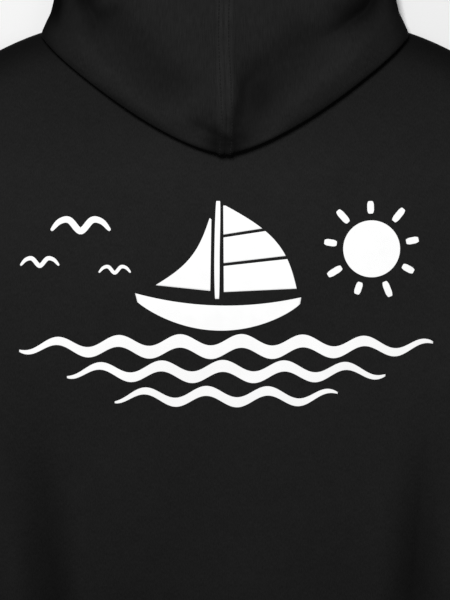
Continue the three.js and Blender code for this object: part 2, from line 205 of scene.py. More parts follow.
# A closed shell under a grid: the grid, the same grid moved in by the thickness, and a rounded rim
# along each free edge, whose middle row stands out by a share of the thickness. With wrap, the last
# column joins the first one. Quads marked in holes are left out, with walls round them.
def shell(outer, thickness, wrap=False, facing=1.0, roll=0.4, holes=None):
    rows, cols = outer.shape[:2]
    thickness = np.broadcast_to(np.asarray(thickness, float), (rows, cols))
    inner = outer - gridNormals(outer, wrap, facing) * thickness[..., None]
    quadCols = cols if wrap else cols - 1
    kept = np.ones((rows - 1, quadCols), bool) if holes is None else ~holes
    turns = [(0, 0), (0, 1), (1, 1), (1, 0)]

    def corners(mask):
        r, c = np.nonzero(mask)
        return np.stack([np.stack([r + dr, c + dc], 1) for dr, dc in turns], 1)

    def number(rc, layer):
        return layer * rows * cols + rc[..., 0] * cols + rc[..., 1] % cols

    lengths = [lengthAlong(outer[:, cols // 2]) * millimetre]
    middle = outer[rows // 2]
    lengths.append(lengthAlong(np.vstack([middle, middle[:1]]) if wrap else middle) * millimetre)

    # Metres across and along the cloth, for its weave.
    def cloth(rc):
        return np.stack([lengths[1][rc[..., 1]], lengths[0][rc[..., 0]]], -1)

    whole = corners(kept)
    points = [outer.reshape(-1, 3), inner.reshape(-1, 3)]
    quads = [number(whole, 0), number(whole, 1)[:, ::-1]]
    uvs = [cloth(whole), cloth(whole)[:, ::-1]]
    if holes is not None:
        beyond = [np.roll(kept, shift, axis) for shift, axis in ((1, 0), (-1, 1), (-1, 0), (1, 1))]
        for k, neighbour in enumerate(beyond):
            cut = corners(holes & neighbour)
            a, b = cut[:, k], cut[:, (k + 1) % 4]
            quads.append(np.stack([number(a, 0), number(b, 0), number(b, 1), number(a, 1)], 1))
            uvs.append(np.stack([cloth(a), cloth(b), cloth(b), cloth(a)], 1))

    right, up = np.arange(cols + (1 if wrap else 0)), np.arange(rows)
    first, last = np.stack([0 * right, right], 1), np.stack([0 * right + rows - 1, right[::-1]], 1)
    sides = [np.stack([up, 0 * up + cols - 1], 1), np.stack([up[::-1], 0 * up], 1)]
    if wrap:
        loops = [first, last]
    else:
        around = np.concatenate([edge[:-1] for edge in (first, sides[0], last, sides[1])])
        loops = [np.vstack([around, around[:1]])]
    count = 2 * rows * cols
    for loop in loops:
        r, c = loop[:-1, 0], loop[:-1, 1] % cols
        inR = np.where(r == 0, 1, np.where(r == rows - 1, -1, 0))
        inC = 0 * c if wrap else np.where(c == 0, 1, np.where(c == cols - 1, -1, 0))
        outward = unit(outer[r, c] - outer[r + inR, (c + inC) % cols])
        points.append((outer[r, c] + inner[r, c]) / 2 + outward * (roll * thickness[r, c])[:, None])
        k = np.arange(len(r))
        n = (k + 1) % len(r)
        o, i, m = number(loop[:-1], 0), number(loop[:-1], 1), count + k
        quads += [np.stack([o[n], o[k], m[k], m[n]], 1), np.stack([m[n], m[k], i[k], i[n]], 1)]
        uvs += [np.stack([cloth(loop[1:]), cloth(loop[:-1]), cloth(loop[:-1]), cloth(loop[1:])], 1)] * 2
        count += len(r)
    return outwards(np.concatenate(points), np.concatenate(quads), np.concatenate(uvs))


# Turns the faces round if the volume that they close is below 0.
def outwards(points, quads, uvs):
    a, b, c, d = (points[quads[:, k]] for k in range(4))
    volume = (np.einsum("ij,ij->i", a, np.cross(b, c)) + np.einsum("ij,ij->i", a, np.cross(c, d))).sum()
    return (points, quads[:, ::-1], uvs[:, ::-1]) if volume < 0 else (points, quads, uvs)


lowest = 0.1  # nothing reaches into the floor


# One piece of the garment from one or more closed shells. Where shade is given, each point keeps
# how deep it lies in grooves and turned edges, as painted shade in the cloth's colour there.
def makePiece(name, parts, material, stands=(), shade=None):
    starts = np.cumsum([0] + [len(p) for p, _, _ in parts[:-1]])
    points = np.concatenate([p for p, _, _ in parts])
    points[:, 2] = np.maximum(points[:, 2], lowest)
    quads = np.concatenate([q + s for (_, q, _), s in zip(parts, starts)])
    uvs = np.concatenate([u for _, _, u in parts])
    mesh = bpy.data.meshes.new(name)
    mesh.vertices.add(len(points))
    mesh.vertices.foreach_set("co", place(points).ravel())
    mesh.loops.add(quads.size)
    mesh.loops.foreach_set("vertex_index", quads.ravel().astype(np.int32))
    mesh.polygons.add(len(quads))
    mesh.polygons.foreach_set("loop_start", np.arange(0, quads.size, 4, dtype=np.int32))
    mesh.polygons.foreach_set("use_smooth", np.ones(len(quads), bool))
    mesh.uv_layers.new(name="cloth").data.foreach_set("uv", uvs.reshape(-1, 2).ravel())
    if shade:
        shades = np.minimum(shade(*points[:, :2].T), shading["most"])
        mesh.attributes.new("shade", "FLOAT", "POINT").data.foreach_set("value", shades)
    mesh.update(calc_edges=True)
    mesh.validate()
    mesh.materials.append(material)
    piece = bpy.data.objects.new(name, mesh)
    scene.collection.objects.link(piece)
    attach(piece, "root")
    if stands:
        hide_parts(*stands)
    print("made", name, "with", 2 * len(quads), "triangles")
    return piece


# A shader socket or a number, so that sums on it add their Math nodes.
class Value:
    def __init__(self, shader, socket):
        self.shader, self.socket = shader, socket

    def sum(self, operation, *others):
        return self.shader.node("ShaderNodeMath", {"operation": operation}, dict(enumerate(others)))

    def __add__(self, other):
        return self.sum("ADD", self, other)

    def __radd__(self, other):
        return self.sum("ADD", other, self)

    def __sub__(self, other):
        return self.sum("SUBTRACT", self, other)

    def __rsub__(self, other):
        return self.sum("SUBTRACT", other, self)

    def __mul__(self, other):
        return self.sum("MULTIPLY", self, other)

    def __rmul__(self, other):
        return self.sum("MULTIPLY", other, self)


# A node material under construction.
class Shader:
    def __init__(self, name):
        self.material = bpy.data.materials.new(name)
        self.material.use_nodes = True
        self.tree = self.material.node_tree
        self.surface = self.tree.nodes["Principled BSDF"]

    # Adds a node: its settings first, then what goes into its sockets, and gives back one output.
    def node(self, kind, settings=None, inputs=None, output=0):
        made = self.tree.nodes.new(kind)
        for key, value in (settings or {}).items():
            setattr(made, key, value)
        for key, value in (inputs or {}).items():
            self.put(made.inputs[key], value)
        return Value(self, made.outputs[output])

    def put(self, socket, value):
        if isinstance(value, Value):
            self.tree.links.new(value.socket, socket)
        else:
            socket.default_value = value

    def noise(self, where, scale, detail=2.0, roughness=0.5):
        inputs = {"Vector": where, "Scale": scale, "Detail": detail, "Roughness": roughness}
        return self.node("ShaderNodeTexNoise", {}, inputs)

    def span(self, value, low, high, toLow=0.0, toHigh=1.0):
        inputs = {"Value": value, "From Min": low, "From Max": high, "To Min": toLow, "To Max": toHigh}
        return self.node("ShaderNodeMapRange", {}, inputs)

    def blend(self, factor, first, second):
        return self.node("ShaderNodeMix", {"data_type": "RGBA"}, {0: factor, 6: first, 7: second}, output=2)

    def finish(self, **sockets):
        for key, value in sockets.items():
            self.put(self.surface.inputs[key.replace("_", " ")], value)
        return self.material


# A grey, with a share more red and less blue where it is warm.
def grey(level, warmth=0.0):
    return (level * (1 + warmth), level, level * (1 - warmth), 1.0)


# Knitted cloth: fine stitches that run along the cloth's own length, fuzz, and a slow drift of tone.
# Painted shade leaves the middle of the back the lightest, with a deeper black towards the hem and
# the shoulders. A painted highlight lightens a band along the hood's middle seam. Ranges along and
# across the garment are in metres.
fleeceLook = {
    "dark": grey(0.0088), "light": grey(0.0160), "stitchesPerMetre": 900.0, "rowsPerMetre": 380.0,
    "fuzzScale": 2600.0, "driftScale": 8.0, "mottleScale": 150.0,
    "knitShare": 0.45, "fuzzShare": 0.2, "driftShare": 0.2, "mottleShare": 0.15, "toneRange": (0.36, 0.64),
    "lowerBack": (-0.25, 0.2), "lowerBackPaintedShade": 0.78, "shoulders": (0.14, 0.25), "shouldersPaintedShade": 0.60,
    "band": None, "bandHighlight": 1.28, "shade": 0.5,
    "bump": 0.35, "bumpDepth": 0.0005, "bumpKnit": 0.7, "bumpFuzz": 0.3,
    "roughness": (0.86, 0.98), "sheen": 0.006, "sheenRoughness": 0.5, "specular": 0.05,
}
ribLook = dict(fleeceLook, dark=grey(0.0083), light=grey(0.0150), bump=0.4)
# The hood's copy is darker all over as painted shade, has no painted shade along its length, and has the
# painted highlight along its middle seam.
shadedHoodLook = dict(
    fleeceLook, dark=grey(0.0079), light=grey(0.0143), lowerBackPaintedShade=1.0, shouldersPaintedShade=1.0,
    band=(0.0062, 0.0082))
tapeLook = dict(
    fleeceLook, dark=grey(0.013), light=grey(0.022), stitchesPerMetre=1400.0, rowsPerMetre=1400.0)
# The thread takes painted shade more strongly than the cloth.
threadLook = dict(fleeceLook, dark=grey(0.0125), light=grey(0.0225), bump=0.2, shade=0.8)


# The tone is a weighted sum of four noises, stretched to the range between dark and light. It is
# then darkened by painted shade, towards the hem and the shoulders and by the shade that the piece
# keeps at its points. The knit and fuzz also raise the bump.
def clothMaterial(name, look):
    s = Shader(name)
    weave = s.node("ShaderNodeUVMap", {"uv_map": "cloth"})
    spot = s.node("ShaderNodeTexCoord", output="Object")
    scale = (look["stitchesPerMetre"], look["rowsPerMetre"], 1.0)
    knit = s.noise(s.node("ShaderNodeMapping", {}, {"Vector": weave, "Scale": scale}), 1.0)
    fuzz = s.noise(spot, look["fuzzScale"], 3.0, 0.6)
    drift = s.noise(spot, look["driftScale"], 3.0, 0.55)
    mottle = s.noise(spot, look["mottleScale"])
    noises = knit * look["knitShare"] + fuzz * look["fuzzShare"]
    noises = noises + drift * look["driftShare"] + mottle * look["mottleShare"]
    tone = s.span(noises, *look["toneRange"])
    colour = s.blend(tone, look["dark"], look["light"])
    lengthwise = s.node("ShaderNodeSeparateXYZ", {}, {0: spot}, output=1)
    # Painted shade along the garment's length, and the painted shade that each piece keeps.
    paintedShading = s.span(lengthwise, *look["lowerBack"], look["lowerBackPaintedShade"], 1.0)
    paintedShading = paintedShading * s.span(lengthwise, *look["shoulders"], 1.0, look["shouldersPaintedShade"])
    shade = s.node("ShaderNodeAttribute", {"attribute_name": "shade"}, output=2)
    paintedShading = paintedShading * (1.0 - shade * look["shade"])
    colour = s.node("ShaderNodeVectorMath", {"operation": "SCALE"}, {0: colour, "Scale": paintedShading})
    # A painted highlight along the hood's middle seam.
    if look["band"]:
        sideways = s.node("ShaderNodeSeparateXYZ", {}, {0: spot}, output=0)
        away = sideways.sum("ABSOLUTE", sideways)
        seamHighlight = s.span(away, *look["band"], look["bandHighlight"], 1.0)
        colour = s.node("ShaderNodeVectorMath", {"operation": "SCALE"}, {0: colour, "Scale": seamHighlight})
    low, high = look["roughness"]
    height = knit * look["bumpKnit"] + fuzz * look["bumpFuzz"]
    bumpInputs = {"Strength": look["bump"], "Distance": look["bumpDepth"], "Height": height}
    return s.finish(
        Base_Color=colour, Roughness=low + tone * (high - low),
        Normal=s.node("ShaderNodeBump", {}, bumpInputs), Sheen_Weight=look["sheen"],
        Sheen_Roughness=look["sheenRoughness"], Specular_IOR_Level=look["specular"])


printLook = {
    "base": grey(0.93), "worn": grey(0.86), "grainScale": 900.0, "wearScale": 70.0,
    "roughness": 0.55, "grainRoughness": 0.15, "bump": 0.15, "bumpDepth": 0.0002, "specular": 0.3,
}


# A thin film of white ink: the knit under it shows faintly, with some slow wear.
def printMaterial(name, look):
    s = Shader(name)
    spot = s.node("ShaderNodeTexCoord", output="Object")
    grain = s.noise(spot, look["grainScale"])
    wear = s.noise(spot, look["wearScale"], 4.0)
    bumpInputs = {"Strength": look["bump"], "Distance": look["bumpDepth"], "Height": grain}
    return s.finish(
        Base_Color=s.blend(wear, look["base"], look["worn"]), Normal=s.node("ShaderNodeBump", {}, bumpInputs),
        Roughness=look["roughness"] + grain * look["grainRoughness"], Specular_IOR_Level=look["specular"])


metalLook = {
    "dark": grey(0.03), "worn": grey(0.16, 0.03), "wearScale": 420.0, "wearRange": (0.5, 0.72),
    "roughness": 0.32, "wearRoughness": 0.2,
}


# Blackened metal, rubbed brighter in places.
def metalMaterial(name, look):
    s = Shader(name)
    spot = s.node("ShaderNodeTexCoord", output="Object")
    rubbed = s.noise(spot, look["wearScale"], 4.0)
    colour = s.blend(s.span(rubbed, *look["wearRange"]), look["dark"], look["worn"])
    roughness = look["roughness"] + rubbed * look["wearRoughness"]
    return s.finish(Base_Color=colour, Roughness=roughness, Metallic=1.0)


fleece = clothMaterial("fleece", fleeceLook)
shadedHoodFleece = clothMaterial("hood_fleece", shadedHoodLook)
ribKnit = clothMaterial("rib_knit", ribLook)
twillTape = clothMaterial("twill_tape", tapeLook)
thread = clothMaterial("thread", threadLook)
whiteInk = printMaterial("white_ink", printLook)
blackMetal = metalMaterial("black_metal", metalLook)
print("materials ready")

body = {
    "neckY": 700.0, "neckHalf": 105.0, "backDrop": 20.0, "frontDrop": 88.0,
    "shoulderHalf": 246.0, "shoulderSlope": 0.39, "shoulderBow": 5.5,
    "armpitY": 445.0, "chestHalf": 270.0, "armholeCurve": 26.0,
    "hemHeight": 70.0, "hemHalf": 238.0, "hemTuck": 22.0, "hemTuckReach": 35.0, "cloth": 2.4,
    "loft": 24.0, "hemLoft": 11.0, "loftRise": 130.0, "edgeRound": 74.0, "underFolds": 4.0,
    "rows": 190, "columns": 200, "rowEase": 0.55, "columnEase": 0.72, "gripped": 9.0, "gripReach": 6.0,
}
body["shoulderY"] = body["neckY"] - (body["shoulderHalf"] - body["neckHalf"]) * body["shoulderSlope"]


# Half the body's width at a height: the chest's, drawn in towards the hem as e to the minus height,
# and above the armpit a straight line to the shoulder, hollowed by a sine for the armhole.
def bodyHalf(y):
    b = body
    below = b["chestHalf"] - b["hemTuck"] * np.exp(-(y - b["hemHeight"]) / b["hemTuckReach"])
    t = np.clip((y - b["armpitY"]) / (b["shoulderY"] - b["armpitY"]), 0.0, 1.0)
    above = mix(b["chestHalf"], b["shoulderHalf"], t) - b["armholeCurve"] * np.sin(math.pi * t)
    return np.where(y <= b["armpitY"], below, above)


# The shoulder falls evenly from the neck point to the armhole, with a bow upwards of a sine squared.
def shoulderLine(x):
    b = body
    out = np.abs(x) - b["neckHalf"]
    t = np.clip(out / (b["shoulderHalf"] - b["neckHalf"]), 0.0, 1.0)
    return b["neckY"] - out * b["shoulderSlope"] + b["shoulderBow"] * np.sin(math.pi * t) ** 2


sleeve = {
    "cuffSeam": (480.0, 150.0), "lean": 12.0, "endHalf": 50.0, "cuffLength": 75.0, "cuffHalf": 46.0,
    "overarm": (165.0, 25.0, 220.0), "underarm": (100.0, 48.0, 150.0), "curveFade": 0.25,
    "cuffLoft": 12.0, "loftFrom": 0.3, "loftOver": 0.7, "gripped": 0.07, "gripReach": 0.012,
    "length": 480.0, "rows": 168, "columns": 116, "rowEase": 0.35,
}
lean = math.radians(sleeve["lean"])
alongCuff = np.array([math.sin(lean), -math.cos(lean)])
acrossCuff = np.array([math.cos(lean), math.sin(lean)])


# A sleeve edge is a cubic Bezier curve from the armhole to the cuff. Its bend is how far it reaches in
# its first direction, how many degrees that one falls, and how far it reaches back from the cuff.
def sleeveEdge(start, bend, side, t):
    reach, fall, endReach = bend
    end = np.array(sleeve["cuffSeam"]) + acrossCuff * side * sleeve["endHalf"]
    heading = np.array([math.cos(math.radians(fall)), -math.sin(math.radians(fall))])
    a, b, c, d = np.array(start), np.array(start) + heading * reach, end - alongCuff * endReach, end
    t = np.asarray(t)[..., None]
    return a * (1 - t) ** 3 + b * 3 * t * (1 - t) ** 2 + c * 3 * t**2 * (1 - t) + d * t**3


# The sleeve's upper edge in plan, from the end of the shoulder to the cuff.
def overarm(t):
    return sleeveEdge((body["shoulderHalf"], body["shoulderY"]), sleeve["overarm"], 1.0, t)


# The sleeve's lower edge in plan, from the armpit to the cuff.
def underarm(t):
    return sleeveEdge((body["chestHalf"], body["armpitY"]), sleeve["underarm"], -1.0, t)


# Half the sleeve's width, at a share of its length.
def sleeveHalf(along):
    return np.linalg.norm(overarm(along) - underarm(along), axis=-1) / 2


# Plan of the right sleeve: across is -1 on the overarm edge and 1 on the underarm edge. Its start
# follows the armhole's curve, and its end is drawn in by the cuff.
def sleevePlan(across, along):
    narrowed = across * (1.0 - sleeve["gripped"] * np.exp(-(1.0 - along) / sleeve["gripReach"]))
    p = mix(overarm(along), underarm(along), ((1.0 + narrowed) / 2)[..., None])
    curve = np.maximum(0.0, 1.0 - along / sleeve["curveFade"]) ** 2
    p[..., 0] -= curve * body["armholeCurve"] * np.sin(math.pi * (1.0 - across) / 2)
    return p[..., 0], p[..., 1]


# The two lines where the right side of the garment folds over: body and underarm, shoulder and
# overarm.
sideY = np.linspace(0.0, body["armpitY"], 40)
shoulderX = np.linspace(body["neckHalf"], body["shoulderHalf"], 16)
foldedEdges = [
    np.vstack([np.stack([bodyHalf(np.maximum(sideY, body["hemHeight"])), sideY], 1),
               underarm(np.linspace(0.02, 1.0, 40))]),
    np.vstack([np.stack([shoulderX, shoulderLine(shoulderX)], 1), overarm(np.linspace(0.02, 1.0, 47))]),
]


# Distance to the nearest folded edge, on either side.
def fromFold(x, y):
    return np.minimum(*(toLine(np.abs(x), y, edge)[0] for edge in foldedEdges))


# How a folded edge lies: the height of its middle, how far its layers rise over that and sink under
# it, the radius of its round, and the shares of the two curves in the crown beyond it.
lie = {"middle": 2.5, "over": 2.6, "under": 2.3, "radius": 3.0, "round": 0.45, "bow": 0.55}


# Rise of the upper layer from a folded edge: a share of a quarter circle and a share of a parabola.
def crown(d, reach):
    t = 1.0 - np.clip(d / reach, 0.0, 1.0)
    return lie["round"] * np.sqrt(1.0 - t * t) + lie["bow"] * (1.0 - t * t)


# The folded edge itself is a half circle of two layers of cloth.
def edgeRound(d):
    return np.sqrt(1.0 - (1.0 - np.clip(d / lie["radius"], 0.0, 1.0)) ** 2)


backFolds = [
    # soft upright folds over the hips
    ([(-170, 380), (-167, 316), (-162, 246), (-155, 180), (-154, 90)], 20.0, -12.0, 0.7, 0.3),
    ([(-168, 340), (-165, 290), (-160, 235), (-154, 180), (-153, 90)], 8.0, -9.0, 0.7, 0.3),
    ([(-132, 330), (-128, 240), (-119, 90)], 14.0, 4.0, 0.6, 0.1),
    ([(-190, 300), (-188, 220), (-180, 90)], 14.0, 4.0, 0.6, 0.1),
    ([(180, 384), (178, 324), (174, 246), (170, 180), (168, 90)], 20.0, -12.0, 0.7, 0.3),
    ([(177, 346), (175, 290), (172, 235), (168, 180), (167, 90)], 8.0, -9.0, 0.7, 0.3),
    ([(140, 330), (138, 240), (132, 90)], 14.0, 4.0, 0.6, 0.1),
    ([(200, 310), (196, 220), (190, 90)], 14.0, 4.0, 0.6, 0.1),
    # slack below the hood
    ([(-112, 596), (-97, 558), (-78, 518)], 9.0, 1.6, 0.4, 0.5),
    ([(114, 588), (101, 556), (88, 526)], 11.0, 1.2, 0.4, 0.5),
    # drag from the armpits
    ([(276, 436), (240, 470), (214, 512), (200, 560)], 10.0, 5.0, 0.1, 0.6),
    ([(268, 458), (246, 486), (230, 524)], 7.0, -4.2, 0.1, 0.5),
    ([(272, 426), (238, 410), (205, 382), (186, 336)], 10.0, 4.6, 0.1, 0.6),
    ([(272, 408), (246, 392), (226, 362)], 7.0, -3.8, 0.1, 0.5),
    ([(-276, 436), (-236, 466), (-210, 500), (-196, 548)], 10.0, 4.8, 0.1, 0.6),
    ([(-268, 460), (-243, 486), (-226, 530)], 7.0, -4.2, 0.1, 0.5),
    ([(-272, 424), (-240, 404), (-212, 370), (-194, 326)], 11.0, 4.6, 0.1, 0.6),
    ([(-272, 406), (-248, 384), (-232, 350)], 7.0, -3.8, 0.1, 0.5),
    # slack over the waist
    ([(-256, 262), (-226, 236), (-200, 226)], 9.0, 3.2, 0.2, 0.6),
    ([(-258, 238), (-232, 214), (-208, 206)], 7.0, -2.6, 0.2, 0.6),
    ([(256, 296), (228, 270), (202, 258)], 9.0, 3.2, 0.2, 0.6),
    ([(258, 272), (234, 248), (210, 238)], 7.0, -2.6, 0.2, 0.6),
    ([(-252, 168), (-228, 140), (-214, 100)], 8.0, 3.2, 0.2, 0.5),
    ([(252, 178), (232, 150), (218, 108)], 8.0, 3.2, 0.2, 0.5),
    ([(-74, 185), (-46, 138), (-34, 86)], 12.0, 2.6, 0.5, 0.2),
    ([(66, 205), (52, 145), (46, 86)], 12.0, 2.6, 0.5, 0.2),
    ([(2, 165), (7, 122), (8, 80)], 10.0, -2.2, 0.5, 0.2),
]
gathers = {
    "height": 1.7, "reach": 24.0, "pitches": (27.0, 17.0, 41.0), "phase": 1.7,
    "evenShare": 0.65, "swellShare": 0.35, "swellLength": 33.0, "swellPhase": 0.8,
}
slack = {"waves": makeWaves(150.0), "height": 0.9, "ripples": makeWaves(48.0), "rippleHeight": 0.16}


# Puckers where cloth is gathered into a rib: a sum of sines along the seam, which swells and sinks
# slowly and dies away from the seam as e to the minus distance.
def puckers(alongSeam, fromSeam, g):
    wave = sum(np.sin(math.tau * alongSeam / p + g["phase"] * k) for k, p in enumerate(g["pitches"])) / 2
    swell = g["evenShare"] + g["swellShare"] * np.sin(alongSeam / g["swellLength"] + g["swellPhase"])
    return g["height"] * wave * swell * np.exp(-fromSeam / g["reach"])


seams = {
    "dip": 1.5, "dipWidth": 2.0, "hemDip": 1.2, "cuffDip": 1.3,
    "ridge": 0.5, "ridgeAt": 5.5, "ridgeWidth": 3.5, "none": 99.0,
}
# Distances from a folded edge within which each kind of relief comes up to its full height.
comesUp = {"folds": 30.0, "waves": 60.0, "ripples": 30.0, "puckers": 20.0, "seams": 6.0}


# A sewn seam draws the cloth down into a narrow groove: a bell.
def seamDip(d, depth=seams["dip"]):
    return -depth * bell(d, seams["dipWidth"])


# Height of the back's upper surface, out to the armholes, from its plan place: the round of the
# folded edge, the crown and the folds, the cloth's unevenness, and the seams.
def backHeight(x, y, fromArmhole=seams["none"]):
    b = body
    d = fromFold(x, y)
    full = mix(b["hemLoft"], b["loft"], smooth((y - b["hemHeight"]) / b["loftRise"]))
    beyond = (np.abs(x) > b["neckHalf"]) & (y > shoulderLine(x))
    loft = full * crown(d, b["edgeRound"])
    loft += noDeeper(foldRelief(x, y, backFolds) * smooth(d / comesUp["folds"]), loft - b["underFolds"])
    uneven = slack["height"] * unevenness(x, y, slack["waves"]) * smooth(d / comesUp["waves"])
    uneven += slack["rippleHeight"] * unevenness(x, y, slack["ripples"]) * smooth(d / comesUp["ripples"])
    uneven += puckers(x, y - b["hemHeight"], gathers) * smooth(d / comesUp["puckers"])
    sewn = seamDip(fromArmhole) + seams["ridge"] * bell(fromArmhole - seams["ridgeAt"], seams["ridgeWidth"])
    sewn = (sewn + seamDip(y - b["hemHeight"], seams["hemDip"])) * smooth(d / comesUp["seams"])
    return lie["middle"] + lie["over"] * edgeRound(d) + np.where(beyond, 0.0, loft + uneven) + sewn


# How the painted shade along the shoulders comes and goes.
shoulderShade = {"most": 1.25, "depth": 40.0, "from": 60.0, "fadeIn": 30.0, "to": 195.0, "fadeOut": 40.0}


# Painted shade on the back: darker in its grooves and where it turns down along the shoulders.
def backShade(x, y):
    s = shoulderShade
    aside = np.abs(x)
    along = smooth((aside - s["from"]) / s["fadeIn"]) * (1.0 - smooth((aside - s["to"]) / s["fadeOut"]))
    turned = s["most"] * along * (1.0 - smooth((shoulderLine(x) - y) / s["depth"]))
    return grooveShade(x, y, backFolds) + turned


# Plan of the back or front: rows spread evenly from the hem to the neck's curve and the shoulders,
# and columns from side to side. Also the height at which each point's row meets the side.
def bodyGrid(rows, columns, drop):
    b = body
    v = easedSteps(rows, b["rowEase"])[:, None]
    u = 2.0 * easedSteps(columns, b["columnEase"])[None, :] - 1.0
    edgeX = u * b["shoulderHalf"]
    neckEnd = b["neckY"] - drop * (1.0 - np.clip(np.abs(edgeX) / b["neckHalf"], 0, 1) ** 2)
    top = np.where(np.abs(edgeX) <= b["neckHalf"], neckEnd, shoulderLine(edgeX))
    y = mix(b["hemHeight"], top, v)
    sideRow = mix(b["hemHeight"], b["shoulderY"], v)
    gripped = b["gripped"] * np.exp(-(sideRow - b["hemHeight"]) / b["gripReach"])
    x = u * (bodyHalf(sideRow) - gripped) + 0 * y
    return x, y, sideRow + 0 * y


# The back is its plan at the height of the back cloth, which dips along the armholes.
def makeBack():
    b = body
    x, y, sideRow = bodyGrid(b["rows"], b["columns"], b["backDrop"])
    fromArmhole = np.where(sideRow > b["armpitY"], bodyHalf(sideRow) - np.abs(x), seams["none"])
    grid = np.stack([x, y, backHeight(x, y, fromArmhole)], -1)
    shelled = shell(grid, b["cloth"])
    piece = makePiece("back_cloth", [shelled], fleece, ["back_panel"], backShade)


front = {
    "rows": 120, "columns": 130, "uneven": 0.25, "comesUp": 40.0,
    "overPocket": 2.8, "pocketHalf": 215.0, "pocketTop": 315.0, "pocketFade": 50.0,
}


# The front lies flat, with a smooth step up where the pocket lies under it.
def makeFront():
    f = front
    x, y, _ = bodyGrid(f["rows"], f["columns"], body["frontDrop"])
    d = fromFold(x, y)
    overPocket = smooth((f["pocketHalf"] - np.abs(x)) / f["pocketFade"])
    overPocket = overPocket * smooth((f["pocketTop"] - y) / f["pocketFade"])
    z = lie["middle"] - lie["under"] * edgeRound(d) + f["overPocket"] * overPocket
    z += np.abs(f["uneven"] * unevenness(x, y, slack["waves"])) * smooth(d / f["comesUp"])
    shelled = shell(np.stack([x, y, z], -1), body["cloth"], facing=-1.0)
    piece = makePiece("front_cloth", [shelled], fleece, ["front_panel"])


pouch = {
    "bottomHalf": 168.0, "topHalf": 112.0, "sideHeight": 78.0, "height": 195.0, "cloth": 2.2,
    "aboveHem": 1.2, "rows": 70, "columns": 90, "ease": 0.5, "low": 0.3, "uneven": 0.12,
}


# Plan of the pouch: its sides run up straight and then slant in to the top, where the hands go in.
def pouchPlan(u, v):
    p = pouch
    y = v * p["height"]
    slant = np.clip((y - p["sideHeight"]) / (p["height"] - p["sideHeight"]), 0, 1)
    return u * mix(p["bottomHalf"], p["topHalf"], slant), y + body["hemHeight"] + p["aboveHem"]


# The pouch is its plan a little above the floor, with low unevenness upwards.
def makePocket():
    p = pouch
    v, u = easedSteps(p["rows"], p["ease"]), 2 * easedSteps(p["columns"], p["ease"]) - 1
    v, u = np.meshgrid(v, u, indexing="ij")
    x, y = pouchPlan(u, v)
    z = p["low"] + np.abs(p["uneven"] * unevenness(x, y, slack["waves"]))
    shelled = shell(np.stack([x, y, z], -1), p["cloth"], facing=-1.0)
    piece = makePiece("pocket_cloth", [shelled], fleece, ["pocket"])


makeBack()
makeFront()
makePocket()

# Folds in a sleeve, with x its length from the armhole and y the way across it from the overarm edge.
elbowFolds = {
    "right": [
        ([(150, 190), (175, 140), (205, 100), (240, 72)], 8.0, 5.4, 0.1, 0.5),
        ([(176, 186), (196, 150), (222, 120)], 6.0, -4.4, 0.1, 0.5),
        ([(205, 180), (222, 138), (252, 102), (285, 80)], 8.0, 5.6, 0.1, 0.5),
        ([(232, 172), (246, 140), (270, 112)], 6.0, -4.6, 0.1, 0.5),
        ([(262, 165), (275, 126), (303, 96), (332, 78)], 8.0, 5.0, 0.1, 0.5),
        ([(292, 156), (303, 122), (326, 98)], 6.0, -4.0, 0.1, 0.5),
        ([(330, 150), (342, 112), (362, 84), (388, 64)], 8.0, 4.2, 0.1, 0.5),
        ([(40, 60), (90, 78), (150, 84), (215, 74)], 13.0, 3.6, 0.4, 0.5),
        ([(60, 112), (104, 118), (150, 112)], 9.0, -3.2, 0.4, 0.5),
        ([(30, 150), (72, 150), (118, 168)], 10.0, 3.8, 0.3, 0.5),
        ([(400, 40), (428, 66), (446, 96)], 8.0, 3.2, 0.4, 0.4),
        ([(420, 96), (440, 70), (462, 52)], 7.0, -2.6, 0.4, 0.4),
    ],
}
leftSleeve = {"alongBy": 11.0, "acrossBy": 5.0, "wider": 1.1, "lower": 0.92}


# The same folds, each moved a little its own way, wider and lower.
def changedFolds(folds, change):
    changed = []
    for k, (path, width, height, *ends) in enumerate(folds):
        moveX, moveY = change["alongBy"] * math.sin(k), change["acrossBy"] * math.cos(2 * k)
        path = [(x + moveX, y + moveY) for x, y in path]
        changed.append((path, width * change["wider"], height * change["lower"], *ends))
    return changed


elbowFolds["left"] = changedFolds(elbowFolds["right"], leftSleeve)
# Distances from a folded edge within which the sleeve's relief comes up, and its own heights.
sleeveRelief = {
    "folds": 26.0, "puckers": 16.0, "waves": 40.0, "ripples": 24.0, "foldsFrom": 0.08, "bodyTo": 0.1,
    "waveHeight": 0.8, "rippleHeight": 0.3, "puckerGirth": 1.6, "seamUnder": 0.4, "leastEdge": 0.02,
    "widest": 0.95,
}
sleeveGathers = dict(gathers, height=1.5, reach=20.0)


# Places on the sleeve's grid: shares of its length down the rows, and angles round it.
def sleevePlaces():
    along = easedSteps(sleeve["rows"], sleeve["rowEase"])[:, None]
    turn = np.linspace(0.0, math.tau, sleeve["columns"], endpoint=False)[None, :]
    return along + 0 * turn, turn + 0 * along


